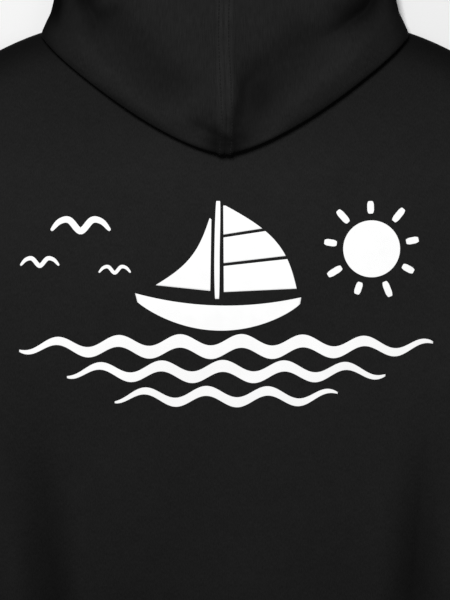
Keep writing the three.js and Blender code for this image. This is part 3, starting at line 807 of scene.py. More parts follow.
# A sleeve is a tube laid flat: one turn round it goes along the upper layer from the underarm fold
# to the overarm fold and comes back underneath. The upper layer has the crown of a folded edge, the
# elbow's folds, the back's folds where they run into it, puckers at the cuff, and unevenness.
def sleeveSurface(side):
    s, b, r = sleeve, body, sleeveRelief
    along, turn = sleevePlaces()
    across = np.cos(turn)
    x, y = sleevePlan(across, along)
    half = sleeveHalf(along)
    fromCuff = (1.0 - along) * s["length"]
    edge = np.minimum(fromFold(x, y), (1.0 - np.abs(across)) * half + r["leastEdge"])
    reach = np.minimum(b["edgeRound"], r["widest"] * half)
    full = mix(b["loft"], s["cuffLoft"], smooth((along - s["loftFrom"]) / s["loftOver"]))
    relief = foldRelief(along * s["length"], (1.0 + across) * half, elbowFolds[side])
    relief *= smooth(edge / r["folds"]) * smooth(along / r["foldsFrom"])
    sign = 1.0 if side == "right" else -1.0
    beyondBody = smooth(along / r["bodyTo"])
    relief += foldRelief(x * sign, y, backFolds) * smooth(edge / comesUp["folds"]) * (1 - beyondBody)
    gathered = puckers((1.0 - across) * half * r["puckerGirth"], fromCuff, sleeveGathers)
    relief += gathered * smooth(edge / r["puckers"])
    for kind, height in (("waves", r["waveHeight"]), ("ripples", r["rippleHeight"])):
        relief += height * unevenness(x, y, slack[kind]) * smooth(edge / r[kind]) * beyondBody
    seam = seamDip(along * s["length"]) + seamDip(fromCuff, seams["cuffDip"])
    seam = seam * smooth(edge / comesUp["seams"])
    upper = lie["middle"] + lie["over"] * edgeRound(edge) + full * crown(edge, reach) + relief + seam
    lower = lie["middle"] - lie["under"] * edgeRound(edge) - r["seamUnder"] * seam
    return np.stack([x * sign, y, np.where(np.sin(turn) >= 0, upper, lower)], -1)


settling = {
    "every": 2, "below": 1.0, "friction": 60.0, "steps": 24, "quality": 7, "pointMass": 0.03,
    "stiffness": 12.0, "shear": 4.0, "bending": 0.06, "growth": 0.07, "pressure": 0.3, "gravity": 0.1,
    "cap": 10.0, "supportGap": 0.0005, "clothGap": 0.0008,
}


# The weights with which the points of a coarse row are spread over a fine one: a cubic B-spline of
# the distance between them, counted in coarse steps.
def spreading(fine, coarse, every, wrap):
    d = np.arange(fine)[:, None] / every - np.arange(coarse)[None, :]
    d = np.abs((d + coarse / 2) % coarse - coarse / 2 if wrap else d)
    return np.where(d < 1, 2 / 3 - d * d + d**3 / 2, np.clip(2 - d, 0, 1) ** 3 / 6)


# A plain mesh of a tube's grid, for the simulation.
def tubeObject(name, grid):
    rows, cols = grid.shape[:2]
    r, c = (k.ravel() for k in np.meshgrid(np.arange(rows - 1), np.arange(cols), indexing="ij"))
    n = (c + 1) % cols
    quads = np.stack([r * cols + c, r * cols + n, (r + 1) * cols + n, (r + 1) * cols + c], 1)
    mesh = bpy.data.meshes.new(name)
    mesh.from_pydata((grid.reshape(-1, 3) * millimetre).tolist(), [], quads.tolist())
    tube = bpy.data.objects.new(name, mesh)
    scene.collection.objects.link(tube)
    return tube


# Lets a tube of cloth settle. A coarser copy of it, grown a little so that it has slack to lose, is
# simulated as cloth that lies on a second copy. It is held where it isn't free, and what its points
# move, levelled off at a cap, is spread over the full grid.
def settled(grid, free, facing):
    look = settling
    every = look["every"]
    start = grid[::every, ::every]
    tube = tubeObject("settling", start)
    support = tubeObject("support", start - gridNormals(start, True, facing) * look["below"])
    support.modifiers.new("support", "COLLISION")
    support.collision.thickness_outer = look["supportGap"]
    support.collision.cloth_friction = look["friction"]
    group = tube.vertex_groups.new(name="held")
    held = np.round(1.0 - free[::every, ::every].ravel(), 1)
    for weight in np.unique(held):
        group.add(np.nonzero(held == weight)[0].tolist(), float(weight), "REPLACE")
    cloth = tube.modifiers.new("cloth", "CLOTH")
    c = cloth.settings
    c.quality, c.mass = look["quality"], look["pointMass"]
    c.tension_stiffness = c.compression_stiffness = look["stiffness"]
    c.shear_stiffness, c.bending_stiffness = look["shear"], look["bending"]
    c.shrink_min = c.shrink_max = -look["growth"]
    c.vertex_group_mass = "held"
    c.use_pressure, c.uniform_pressure_force = True, look["pressure"]
    c.effector_weights.gravity = look["gravity"]
    cloth.collision_settings.distance_min = look["clothGap"]
    cloth.point_cache.frame_start, cloth.point_cache.frame_end = 1, look["steps"]
    for step in range(1, look["steps"] + 1):
        scene.frame_set(step)
    result = tube.evaluated_get(bpy.context.evaluated_depsgraph_get()).data.vertices
    ends = np.empty(start.size, np.float32)
    result.foreach_get("co", ends)
    scene.frame_set(1)
    for helper in (tube, support):
        mesh = helper.data
        bpy.data.objects.remove(helper)
        bpy.data.meshes.remove(mesh)
    move = ends.reshape(start.shape) * metre - start
    far = np.maximum(np.linalg.norm(move, axis=-1, keepdims=True), 1e-6)
    move *= look["cap"] * np.tanh(far / look["cap"]) / far
    down = spreading(grid.shape[0], start.shape[0], every, False)
    around = spreading(grid.shape[1], start.shape[1], every, True)
    return grid + np.einsum("ri,ijk,cj->rck", down, move, around) * free[..., None]


# Where each hold on the sleeve ends and over how far it lets go: the armhole in shares of the
# length, and the cuff and the folded edges in millimetres.
holds = {"armhole": (0.03, 0.06), "cuff": (6.0, 14.0), "edge": (1.0, 9.0)}


# A smooth step from where a hold ends to where the cloth is free.
def letGo(distance, hold):
    return smooth((distance - hold[0]) / hold[1])


# How free each point of a sleeve is: not underneath, at its seams or on its folded edges.
def sleeveFreedom():
    along, turn = sleevePlaces()
    fromEdge = (1.0 - np.abs(np.cos(turn))) * sleeveHalf(along)
    fromSeams = letGo(along, holds["armhole"]) * letGo((1.0 - along) * sleeve["length"], holds["cuff"])
    return np.where(np.sin(turn) > 0, letGo(fromEdge, holds["edge"]), 0.0) * fromSeams


# A sleeve is its surface, left to settle where it is free.
def makeSleeve(side):
    grid = sleeveSurface(side)
    facing = -1.0 if side == "right" else 1.0
    grid = settled(grid, sleeveFreedom(), facing)
    shelled = shell(grid, body["cloth"], wrap=True, facing=facing)
    piece = makePiece(f"sleeve_cloth_{side}", [shelled], fleece, [f"sleeve_{side}"])
    return grid


sleeveGrids = {side: makeSleeve(side) for side in ("right", "left")}

ribs = {
    "pitch": 3.1, "depth": 0.45, "perRib": 6, "thick": 3.0, "roll": 0.5,
    "middle": 3.1, "over": 3.2, "under": 2.8, "widest": 0.95,
}


# A flat tube of rib knit. Each row of the section is laid out again in even steps along its own
# length, and a wave of whole ribs is taken off along its normal.
def ribbed(sections, facing):
    closed = [np.vstack([section, section[:1]]) for section in sections]
    girths = [lengthAlong(line)[-1] for line in closed]
    count = round(np.mean(girths) / ribs["pitch"]) * ribs["perRib"]
    steps = [np.linspace(0.0, girth, count, endpoint=False) for girth in girths]
    grid = np.array([atLengths(line, lengths) for line, lengths in zip(closed, steps)])
    wave = 0.5 - 0.5 * np.cos(math.tau * np.arange(count) / ribs["perRib"])
    return grid - gridNormals(grid, True, facing) * (ribs["depth"] * wave)[None, :, None]


# A flattened tube's section: round at both folds, with the crown of a folded edge on top.
def flatSection(half, loft, count):
    turn = np.linspace(0.0, math.tau, count, endpoint=False)
    across = np.cos(turn) * half
    edge = half - np.abs(across)
    bow = loft * crown(edge, min(body["edgeRound"], ribs["widest"] * half))
    upper = ribs["middle"] + ribs["over"] * edgeRound(edge) + bow
    return across, np.where(np.sin(turn) >= 0, upper, ribs["middle"] - ribs["under"] * edgeRound(edge))


cuff = {"rows": 22, "ease": 0.6, "points": 220, "swell": 0.02, "lower": 1.0, "gap": 0.4}


# A cuff goes on from the sleeve along its lean, widest half way by a sine.
def makeCuff(side):
    s, c = sleeve, cuff
    sign = 1.0 if side == "right" else -1.0
    sections = []
    for along in easedSteps(c["rows"], c["ease"]):
        half = s["cuffHalf"] * (1.0 + c["swell"] * math.sin(math.pi * along))
        across, z = flatSection(half, s["cuffLoft"] - c["lower"], c["points"])
        down = alongCuff * mix(c["gap"], s["cuffLength"], along)
        plan = np.array(s["cuffSeam"]) + down - across[:, None] * acrossCuff
        sections.append(np.stack([plan[:, 0] * sign, plan[:, 1], z], 1))
    shelled = shell(ribbed(sections, -sign), ribs["thick"], wrap=True, facing=-sign, roll=ribs["roll"])
    piece = makePiece(f"cuff_rib_{side}", [shelled], ribKnit, [f"cuff_{side}"])


hem = {
    "rows": 15, "ease": 0.6, "points": 700, "swell": 1.5, "lower": 0.6, "gap": 0.4,
    "wave": 0.7, "waveLength": 37.0, "wavePhase": 2.0, "waveAbove": 5.0,
}


# The hem is the body's flat tube, with a low wave in its upper layer that grows to the free edge.
def makeHem():
    b, h = body, hem
    sections = []
    for along in easedSteps(h["rows"], h["ease"]):
        half = b["hemHalf"] + h["swell"] * math.sin(math.pi * along)
        across, z = flatSection(half, b["hemLoft"] - h["lower"], h["points"])
        wave = h["wave"] * np.sin(across / h["waveLength"] + h["wavePhase"]) * (1.0 - along)
        y = np.full(len(across), mix(0.0, b["hemHeight"] - h["gap"], along))
        sections.append(np.stack([across, y, z + np.where(z > h["waveAbove"], wave, 0.0)], 1))
    shelled = shell(ribbed(sections, -1.0), ribs["thick"], wrap=True, facing=-1.0, roll=ribs["roll"])
    piece = makePiece("hem_rib", [shelled], ribKnit, ["hem_back", "hem_front"])


for side in ("right", "left"):
    makeCuff(side)
makeHem()

# The hood: its grid, the line of its lower fold, the roll there, its rim and neck seam, the heights of
# its layers, its cloth and where its folds come up. A seam turn is how far a line goes up and rises
# beyond the seam. A roll turn is a share of the way from fold to rim, how much more of it at the tip,
# a rise, and how much more of that at the tip. "side" and "front" are shares of the way round from
# the middle of the back to the middle of the front.
hood = {
    "columns": 136, "columnEase": 0.35, "rows": 156,
    "tipY": 573.5, "depth": 104.0, "half": 165.5, "power": 1.46, "cornerRise": 6.0, "cornerPower": 16,
    "drawnIn": 6.0, "drawnAt": 0.16, "drawnReach": 0.12, "drawnPower": 8,
    "roll": 3.3, "rollTurns": ((0.035, 0.015, 3.2, 12.0), (0.12, 0.0, 6.5, 8.0)),
    "tipLift": 1.0, "tipWidth": 24.0, "pinchWidth": 15.0,
    "rimHalf": 125.0, "rimY": 808.0, "rimCrown": 24.0, "rimFront": 183.0,
    "neckUp": 1.2, "neckSideUp": 2.6, "neckDown": 1.2, "neckFront": 4.5, "neckFrontEnd": 5.0,
    "seamTurns": ((7, 2.5), (3, 7)), "underSide": 8.0,
    "sideHeight": 13.0, "frontHeight": 3.0, "topHeights": (54.0, 56.0, 50.0), "topShares": (0.42, 0.75),
    "flatPower": 0.6, "backFrom": 0.12, "backOver": 0.34,
    "clear": 2.7, "channel": 24.0, "cloth": 3.4, "rimCloth": 5.0, "rimFrom": 1.5, "rimOver": 3.0,
    "frontCloth": 2.6, "front": 0.5, "frontOver": 0.15, "sideCloth": 1.5, "side": 0.48, "sideReach": 0.09,
    "layerGap": 4.4, "unevenness": 0.35,
    "foldsFrom": (0.48, 0.1), "foldsBack": (0.1, 0.35), "foldsLevel": (1.6, 0.4),
}
hoodFolds = [
    # the roll along the lower edge, and the hollow inside it
    ([(-140, 678), (-106, 647), (-70, 617), (-34, 594)], 12.0, 4.5, 0.2, 0.3),
    ([(134, 676), (97, 643), (64, 618), (34, 596)], 12.0, 4.5, 0.2, 0.3),
    ([(-114, 704), (-94, 670), (-66, 642), (-28, 612)], 19.0, -13.0, 0.15, 0.25),
    ([(92, 688), (68, 662), (44, 638), (18, 608)], 18.0, -13.0, 0.3, 0.2),
    # grooves that run up towards the opening
    ([(-126, 780), (-128, 750), (-123, 712), (-113, 690), (-101, 668)], 10.5, -30.0, 0.3, 0.5),
    ([(-156, 760), (-149, 712), (-148, 690), (-146, 672)], 7.0, -18.0, 0.2, 0.4),
    ([(126, 780), (132, 735), (127, 706), (111, 691), (90, 675), (74, 660)], 10.5, -30.0, 0.3, 0.45),
    ([(104, 744), (96, 718), (74, 702)], 15.0, 5.0, 0.4, 0.5),
    ([(-96, 744), (-88, 716), (-72, 694)], 15.0, 5.0, 0.4, 0.5),
    # pinch at the tip
    ([(10, 646), (9, 628), (7, 604)], 5.0, 4.5, 0.4, 0.4),
    ([(34, 662), (28, 628), (20, 600), (10, 584)], 15.5, -16.0, 0.5, 0.1),
    ([(-34, 603), (-16, 592), (-3, 588)], 8.0, -10.0, 0.5, 0.15),
    ([(-26, 591), (-13, 585), (0, 579)], 3.2, 3.6, 0.4, 0.2),
    ([(-22, 590), (-10, 582), (1, 578), (12, 582), (24, 589)], 11.0, -27.0, 0.4, 0.4),
    # beyond the neck
    ([(-60, 800), (-40, 760), (-34, 716)], 16.0, -4.4, 0.3, 0.5),
    ([(48, 806), (56, 764), (46, 720)], 15.0, -4.2, 0.3, 0.5),
]
middleSeam = {
    "wander": 1.2, "wanderLength": 26.0, "wanderFrom": 560.0, "wanderWidth": 30.0,
    "groove": 1.0, "grooveWidth": 0.9, "band": 1.0, "bandHalf": 7.5, "bandEdge": 1.2, "from": (0.38, 0.06),
}


# The hood's three lines in plan, at angles from 0 at the middle of the back, through a quarter turn
# at the side, to a half turn at the front. The neck seam and the rim go as the sine across and the
# cosine squared along; the lower fold rises as a power of the sine, more steeply at its corners.
def hoodLines(c, q):
    h, b = hood, body
    drop = np.where(c > 0, b["backDrop"], b["frontDrop"])
    neckY = b["neckY"] - drop * c * c + h["neckUp"] + h["neckSideUp"] * (1 - np.abs(c))
    neck = np.stack([b["neckHalf"] * q, neckY], 1)
    rim = np.stack([h["rimHalf"] * q, h["rimY"] + np.where(c > 0, h["rimCrown"], -h["rimFront"]) * c * c], 1)
    rise = h["depth"] * q ** h["power"] + h["cornerRise"] * q ** h["cornerPower"]
    return neck, np.stack([h["half"] * q, h["tipY"] + rise], 1), rim


# Control points of the lines that run from the neck seam, under the fold and over to the rim. On the
# back they go round the roll of the fold, and on the front straight from the seam to the rim, with a
# smooth step between the two at the side.
def hoodControls(angle):
    h, b = hood, body
    c, q = np.cos(angle), np.sin(angle)
    neck, fold, rim = hoodLines(c, q)
    full = np.maximum(c, 0.0) ** h["flatPower"]

    def over(p):
        return backHeight(p[:, 0], p[:, 1]) + h["clear"]

    def level(height):
        return mix(h["sideHeight"], height, full)

    def upTo(share):
        drawnIn = h["drawnIn"] * bell(share - h["drawnAt"], h["drawnReach"]) * q[:, None] ** h["drawnPower"]
        return mix(fold, rim, share) - drawnIn * [1.0, 0.0]

    seamZ = backHeight(np.zeros(1), np.full(1, b["neckY"] - b["backDrop"]))[0] - h["neckDown"]
    neckZ = mix(h["neckFront"], seamZ, full)
    halfway = (neck + fold) / 2
    base = over(fold) + h["tipLift"] * full * bell(fold[:, 0], h["tipWidth"])
    rolled = base + 2 * h["roll"]
    tip = bell(fold[:, 0], h["pinchWidth"])
    low, high = h["topShares"]
    heights = h["topHeights"]

    def rollTurn(share, shareMore, rise, riseMore):
        return upTo((share + shareMore * tip)[:, None]), rolled + (rise + riseMore * tip) * full

    back = [
        # up out of the seam and down under the fold
        (neck, neckZ), *[(neck + [0, up], neckZ + rise) for up, rise in h["seamTurns"]],
        (halfway, np.maximum(over(halfway), mix(h["underSide"], 0.0, full))),
        # round the roll
        (fold, base), (fold, rolled), *[rollTurn(*turn) for turn in h["rollTurns"]],
        # over to the rim
        (upTo(low), level(heights[0])), (upTo(high), level(heights[1])), (rim, level(heights[2])),
    ]
    flat = np.maximum(-c, 0.0) ** h["flatPower"]
    weight = smooth((c + h["backFrom"]) / h["backOver"])
    controls = []
    for k, (plan, z) in enumerate(back):
        t = k / (len(back) - 1)
        frontPlan = mix(neck, rim, t)
        frontZ = mix(mix(h["neckFrontEnd"], h["sideHeight"], t), h["frontHeight"], flat)
        controls.append(np.column_stack([mix(frontPlan, plan, weight[:, None]), mix(frontZ, z, weight)]))
    return np.array(controls)


# Uniform cubic B-spline through its first and last control points, for all the lines at once.
def splineRows(controls, share):
    last = len(controls) - 1
    p = np.concatenate([[2 * controls[0] - controls[1]], controls, [2 * controls[-1] - controls[-2]]])
    at = np.clip(share * last, 0.0, last - 1e-9)
    k = at.astype(int)
    t = (at - k)[:, None, None]
    weights = [(1 - t) ** 3, 3 * t**3 - 6 * t**2 + 4, -3 * t**3 + 3 * t**2 + 3 * t + 1, t**3]
    return sum(w * p[k + i] for i, w in enumerate(weights)) / 6


# The middle surface of one half of the hood: rows run from the neck seam to the rim. Folds and
# unevenness are added upwards where the upper layer looks up, and the middle seam is a raised band
# with a groove along its middle, which wanders by a sine.
def hoodSurface(side):
    h, m = hood, middleSeam
    angle = math.pi * easedSteps(h["columns"], h["columnEase"])
    share = np.linspace(0.0, 1.0, h["rows"])[:, None]
    grid = splineRows(hoodControls(angle), share[:, 0])
    normals = gridNormals(grid)
    if side == "left":
        grid[..., 0] *= -1
        normals[..., 0] *= -1
    x, y = grid[..., 0], grid[..., 1]
    (start, over), (backStart, backOver), (steep, least) = h["foldsFrom"], h["foldsBack"], h["foldsLevel"]
    upper = smooth((share - start) / over) * smooth((np.cos(angle)[None, :] + backStart) / backOver)
    room = grid[..., 2] - backHeight(x, y) - h["clear"] - h["layerGap"]
    uneven = h["unevenness"] * unevenness(x, y, slack["ripples"])
    relief = noDeeper(foldRelief(x, y, hoodFolds) + uneven, room)
    seam = m["band"] * smooth((m["bandHalf"] - np.abs(x)) / m["bandEdge"])
    seam = seam - m["groove"] * bell(x, m["grooveWidth"])
    grid = grid + normals * (smooth((share - m["from"][0]) / m["from"][1]) * seam)[..., None]
    grid[..., 2] += upper * relief * np.clip(np.abs(normals[..., 2]) * steep - least, 0.0, 1.0)
    wander = m["wander"] * np.sin((y - m["wanderFrom"]) / m["wanderLength"])
    grid[..., 0] += wander * upper * bell(x, m["wanderWidth"])
    return grid


eyeletHole = 3.9


# Quads of the grid round the middle of the eyelet, which stays open.
def eyeletOpening(grid, side):
    low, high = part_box(f"eyelet_{side}")
    middle = (np.array(low) + np.array(high)) / 2 * metre - np.array([0.0, hemBottom, 0.0])
    away = (grid[1:, 1:] + grid[:-1, :-1]) / 2 - middle
    return (np.hypot(away[..., 0], away[..., 1]) < eyeletHole) & (np.abs(away[..., 2]) < eyeletHole)


# Strengths and reaches of the hood's painted shade.
hoodShading = {
    "tip": 0.65, "tipHalf": 19.0, "tipY": 584.0, "tipTall": 9.0,
    "edge": 0.9, "edgeReach": 20.0, "side": 0.75, "sideReach": 70.0, "sideFrom": 640.0, "sideOver": 36.0,
}


# Painted shade in the pinch at the hood's tip: an oval bell.
def tipShade(x, y):
    s = hoodShading
    return s["tip"] * bell(np.hypot(x / s["tipHalf"], (y - s["tipY"]) / s["tipTall"]), 1.0)


# Painted shade on the hood: darker in its grooves, in the pinch at its tip and towards its sides.
def hoodShade(x, y):
    h, s = hood, hoodShading
    sideY = h["tipY"] + h["depth"]
    side = mix(h["half"], h["rimHalf"], np.clip((y - sideY) / (h["rimY"] - sideY), 0.0, 1.0)) - np.abs(x)
    turned = s["edge"] * (1.0 - smooth(side / s["edgeReach"]))
    turned = turned + s["side"] * (1.0 - smooth(side / s["sideReach"]))
    turned = turned * smooth((y - s["sideFrom"]) / s["sideOver"])
    return grooveShade(x, y, hoodFolds) + tipShade(x, y) + turned


# The cloth is thicker where the rim is doubled for the drawcord, and thinner at the side folds.
def makeHood(side):
    h = hood
    grid = hoodSurface(side)
    facing = 1.0 if side == "right" else -1.0
    toRim = np.array([lengthAlong(line[::-1])[::-1] for line in grid.transpose(1, 0, 2)]).T
    doubled = smooth((h["channel"] + h["rimFrom"] - toRim) / h["rimOver"])
    thickness = mix(h["cloth"], h["rimCloth"], doubled)
    around = easedSteps(h["columns"], h["columnEase"])[None, :]
    thickness = mix(thickness, h["frontCloth"], smooth((around - h["front"]) / h["frontOver"]))
    thickness = mix(thickness, h["sideCloth"], bell(around - h["side"], h["sideReach"]))
    grid = grid + gridNormals(grid, facing=facing) * (thickness * 0.5)[..., None]
    shelled = shell(grid, thickness, facing=facing, holes=eyeletOpening(grid, side))
    piece = makePiece(f"hood_cloth_{side}", [shelled], shadedHoodFleece, [f"hood_{side}"], hoodShade)
    return grid, thickness


hoodGrids = {side: makeHood(side) for side in ("right", "left")}

for side in ("right", "left"):
    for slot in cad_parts[f"eyelet_{side}"].material_slots:
        slot.material = blackMetal

tape = {"from": 2.5, "to": 12.5, "thick": 0.8, "gap": 0.15, "rows": 7, "columns": 58}


# Twill tape that covers the neck seam inside the back of the neck.
def makeNeckTape():
    t = tape
    lengths = np.linspace(t["from"], t["to"], t["rows"])
    halves = []
    for side in ("left", "right"):
        grid, thickness = hoodGrids[side]
        facing = 1.0 if side == "right" else -1.0
        inner = grid - gridNormals(grid, facing=facing) * (thickness + t["thick"] + t["gap"])[..., None]
        lines = inner[:, :t["columns"]].transpose(1, 0, 2)
        strip = np.array([atLengths(line, lengths) for line in lines]).transpose(1, 0, 2)
        halves.append(strip[:, ::-1] if side == "left" else strip[:, 1:])
    makePiece("neck_tape", [shell(np.concatenate(halves, 1), t["thick"])], twillTape)


makeNeckTape()

stitching = {
    "pitch": 3.4, "length": 2.7, "width": 0.42, "height": 0.3, "proud": 0.1,
    "rings": (-0.5, -0.3, 0.3, 0.5), "ringSizes": (0.35, 1.0, 1.0, 0.35), "rows": (3.0, 9.0),
    "armholeFrom": 8.0, "armholeTo": 6.0, "besideSeam": 5.2, "pouchInsets": (0.012, 0.05), "pouchLow": 0.35,
    "armholePoints": 90, "hemPoints": 320, "pouchPoints": 120,
    "sleeveColumns": slice(2, 57), "hoodColumns": slice(None, 118), "hoodRows": slice(60, -2),
}


# Stitches along a line on the cloth: each is a small lozenge of four rings of four points, which lies
# along the line and stands a little proud of the cloth.
def stitchesAlong(line, normals, look=stitching):
    reached = lengthAlong(line)
    centres = np.arange(look["pitch"] / 2, reached[-1] - look["length"] / 2, look["pitch"])
    c = atLengths(line, centres)
    n = unit(np.stack([np.interp(centres, reached, normals[:, k]) for k in range(3)], 1))
    ahead = unit(atLengths(line, centres + 0.5) - atLengths(line, np.maximum(centres - 0.5, 0)))
    aside = np.cross(n, ahead)
    stations = np.array(look["rings"]) * look["length"]
    swell = np.array(look["ringSizes"])
    turn = np.arange(4) * math.pi / 2
    across = np.cos(turn) * look["width"]
    rise = np.sin(turn) * look["height"]
    spot = c + n * look["proud"]
    ring = aside[:, None, None] * across[None, None, :, None] + n[:, None, None] * rise[None, None, :, None]
    points = spot[:, None, None] + ahead[:, None, None] * stations[None, :, None, None]
    points = points + ring * swell[None, :, None, None]
    points = points.reshape(-1, 3)
    k = np.arange(4)
    band = np.stack([k, (k + 1) % 4, 4 + (k + 1) % 4, 4 + k], 1)
    faces = np.concatenate([band, band + 4, band + 8, np.array([[3, 2, 1, 0], [12, 13, 14, 15]])])
    quads = (faces[None] + 16 * np.arange(len(c))[:, None, None]).reshape(-1, 4)
    uvs = np.zeros((len(quads), 4, 2))
    uvs[..., 0] = (points[quads][..., 0] + points[quads][..., 1]) * millimetre
    return outwards(points, quads, uvs)


# A line on the back cloth above its plan, with its normals from the slopes of the cloth there.
def onBack(plan, fromArmhole=seams["none"], h=0.5):
    x, y = plan[:, 0], plan[:, 1]
    z = backHeight(x, y, fromArmhole)
    slopeX = (backHeight(x + h, y, fromArmhole) - backHeight(x - h, y, fromArmhole)) / (2 * h)
    slopeY = (backHeight(x, y + h, fromArmhole) - backHeight(x, y - h, fromArmhole)) / (2 * h)
    return np.column_stack([x, y, z]), unit(np.column_stack([-slopeX, -slopeY, np.ones(len(x))]))


# The line across a grid at a length from its last row, with its normals.
def acrossGrid(grid, normals, fromEnd):
    both = np.concatenate([grid, normals], -1)[::-1].transpose(1, 0, 2)
    rows = []
    for line in both:
        reached = lengthAlong(line[:, :3])
        rows.append([np.interp(fromEnd, reached, line[:, k]) for k in range(6)])
    rows = np.array(rows)
    return rows[:, :3], unit(rows[:, 3:])


# Two rows along each armhole and above the hem.
def backRuns():
    b, look = body, stitching
    low, high = b["armpitY"] + look["armholeFrom"], b["shoulderY"] - look["armholeTo"]
    y = np.linspace(low, high, look["armholePoints"])
    x = np.linspace(-b["hemHalf"], b["hemHalf"], look["hemPoints"])
    runs = []
    for d in look["rows"]:
        for sign in (-1.0, 1.0):
            runs.append(onBack(np.column_stack([sign * (bodyHalf(y) - d), y]), np.full(len(y), d)))
        runs.append(onBack(np.column_stack([x, 0 * x + b["hemHeight"] + d])))
    return runs


# Two rows above the cuff, one along the hood's channel and one beside its middle seam.
def sideRuns(side):
    look = stitching
    sign = 1.0 if side == "right" else -1.0
    grid = sleeveGrids[side]
    normals = gridNormals(grid, True, -sign)
    part = look["sleeveColumns"]
    runs = [acrossGrid(grid[:, part], normals[:, part], d) for d in look["rows"]]
    grid, _ = hoodGrids[side]
    normals = gridNormals(grid, facing=sign)
    part = look["hoodColumns"]
    runs.append(acrossGrid(grid[:, part], normals[:, part], hood["channel"]))
    turned = [k.transpose(1, 0, 2)[::-1] for k in (grid, normals)]
    beside, up = acrossGrid(*turned, look["besideSeam"])
    return runs + [(beside[look["hoodRows"]], up[look["hoodRows"]])]


# Two rows inside the sides and the top of the pouch, on its face to the floor.
def pouchRuns():
    look = stitching
    count = look["pouchPoints"]
    down = np.tile([0.0, 0.0, -1.0], (count, 1))
    plans = []
    for inset in look["pouchInsets"]:
        for sign in (-1.0, 1.0):
            plans.append(pouchPlan(np.full(count, sign * (1.0 - inset)), np.linspace(0.0, 1.0, count)))
        plans.append(pouchPlan(np.linspace(-1.0, 1.0, count), np.full(count, 1.0 - inset)))
    return [(np.column_stack([x, y, 0 * x + look["pouchLow"]]), down) for x, y in plans]


# All rows of stitches are one piece, under the painted shade of the hood's tip.
def makeStitching():
    runs = backRuns() + sideRuns("right") + sideRuns("left") + pouchRuns()
    makePiece("stitching", [stitchesAlong(*run) for run in runs], thread, shade=tipShade)


makeStitching()

# The picture's place on the back, its film, and the widths of the narrow rows along its edges.
artwork = {
    "x": 1.0, "y": 446.0, "film": 0.2, "proud": 0.28, "roll": 0.3, "edge": 0.25, "edgeShare": 0.2,
    "strokePoints": 60, "strokeFull": 1.15,
}


# A patch of ink between two edges given across the plan, laid on the back. A narrow row runs along
# both edges, which keeps the film flat right up to them.
def inkPatch(lower, upper, rows=5):
    tall = np.linalg.norm(upper - lower, axis=1) + 0.01
    share = np.minimum(artwork["edge"] / tall, artwork["edgeShare"])
    between = mix(share, 1.0 - share, np.linspace(0.0, 1.0, rows)[:, None])
    plan = mix(lower, upper, np.vstack([0.0 * share, between, 0.0 * share + 1.0])[..., None])
    x, y = plan[..., 0] + artwork["x"], plan[..., 1] + artwork["y"]
    grid = np.stack([x, y, backHeight(x, y) + artwork["proud"]], -1)
    return shell(grid, artwork["film"], roll=artwork["roll"])


# A brush stroke along a path: its half width swells from both ends as the root of a sine, from a
# blunt share of it to all.
def inkStroke(path, half, blunt, rows=5):
    count = artwork["strokePoints"]
    line = through(path, 12)
    line = atLengths(line, np.linspace(0.0, lengthAlong(line)[-1], count))
    heading = unit(np.gradient(line, axis=0))
    aside = np.column_stack([-heading[:, 1], heading[:, 0]])
    root = np.sqrt(np.sin(math.pi * np.linspace(0.0, 1.0, count)) + 1e-9)
    swell = half * np.minimum(1.0, blunt + (1 - blunt) * root * artwork["strokeFull"])
    return inkPatch(line - aside * swell[:, None], line + aside * swell[:, None], rows)


waves = {
    "halves": (182.0, 140.0, 98.0), "phases": (0.0, 1.9, 3.6), "y": -42.0, "apart": 22.0,
    "height": 5.0, "length": 8.6, "thick": 6.0, "thinner": 0.8, "tips": 0.97,
}


# Each wave is a sine, as thick as a half ellipse.
def waveInk(w):
    for level, (half, phase) in enumerate(zip(w["halves"], w["phases"])):
        x = np.linspace(-half, half, 150)
        wave = w["y"] - w["apart"] * level + w["height"] * np.sin(x / w["length"] + phase)
        thick = (w["thick"] - w["thinner"] * level) * np.sqrt(1.0 - (x / half) ** 2 * w["tips"])
        yield inkPatch(np.column_stack([x, wave - thick]), np.column_stack([x, wave + thick]))


boat = {
    "deck": (-80.0, 66.0), "deckY": -6.0, "sheer": 9.0, "sheerMiddle": 1.1,
    "keel": (-78.0, 65.0), "keelEnds": 2.0, "keelDeep": 20.0, "keelSpan": (0.04, 0.98), "keelPower": 0.6,
    "mast": [(-8, 0), (-8, 40), (-7, 86)], "mastHalf": 2.3, "mastBlunt": 0.7,
    "foot": (-2.0, 6.0), "head": (-2.5, 82.0), "clew": (62.0, 9.0), "headBoard": (2.0, 0.0),
    "belly": (13.0, 5.0), "panels": ((0.0, 0.30), (0.335, 0.63), (0.665, 1.0)),
    "jibLuff": ((-14.0, 7.0), (-13.0, 70.0)), "jibLeech": ((-62.0, 12.0), (-14.5, 71.0)),
    "jibBelly": (7.0, -5.0),
}


# A curved edge of a sail: a straight line, with a sine of its length added along a direction.
def sailEdge(start, end, belly, share):
    straight = mix(np.array(start), np.array(end), share)
    return straight + np.array(belly) * np.sin(math.pi * share)


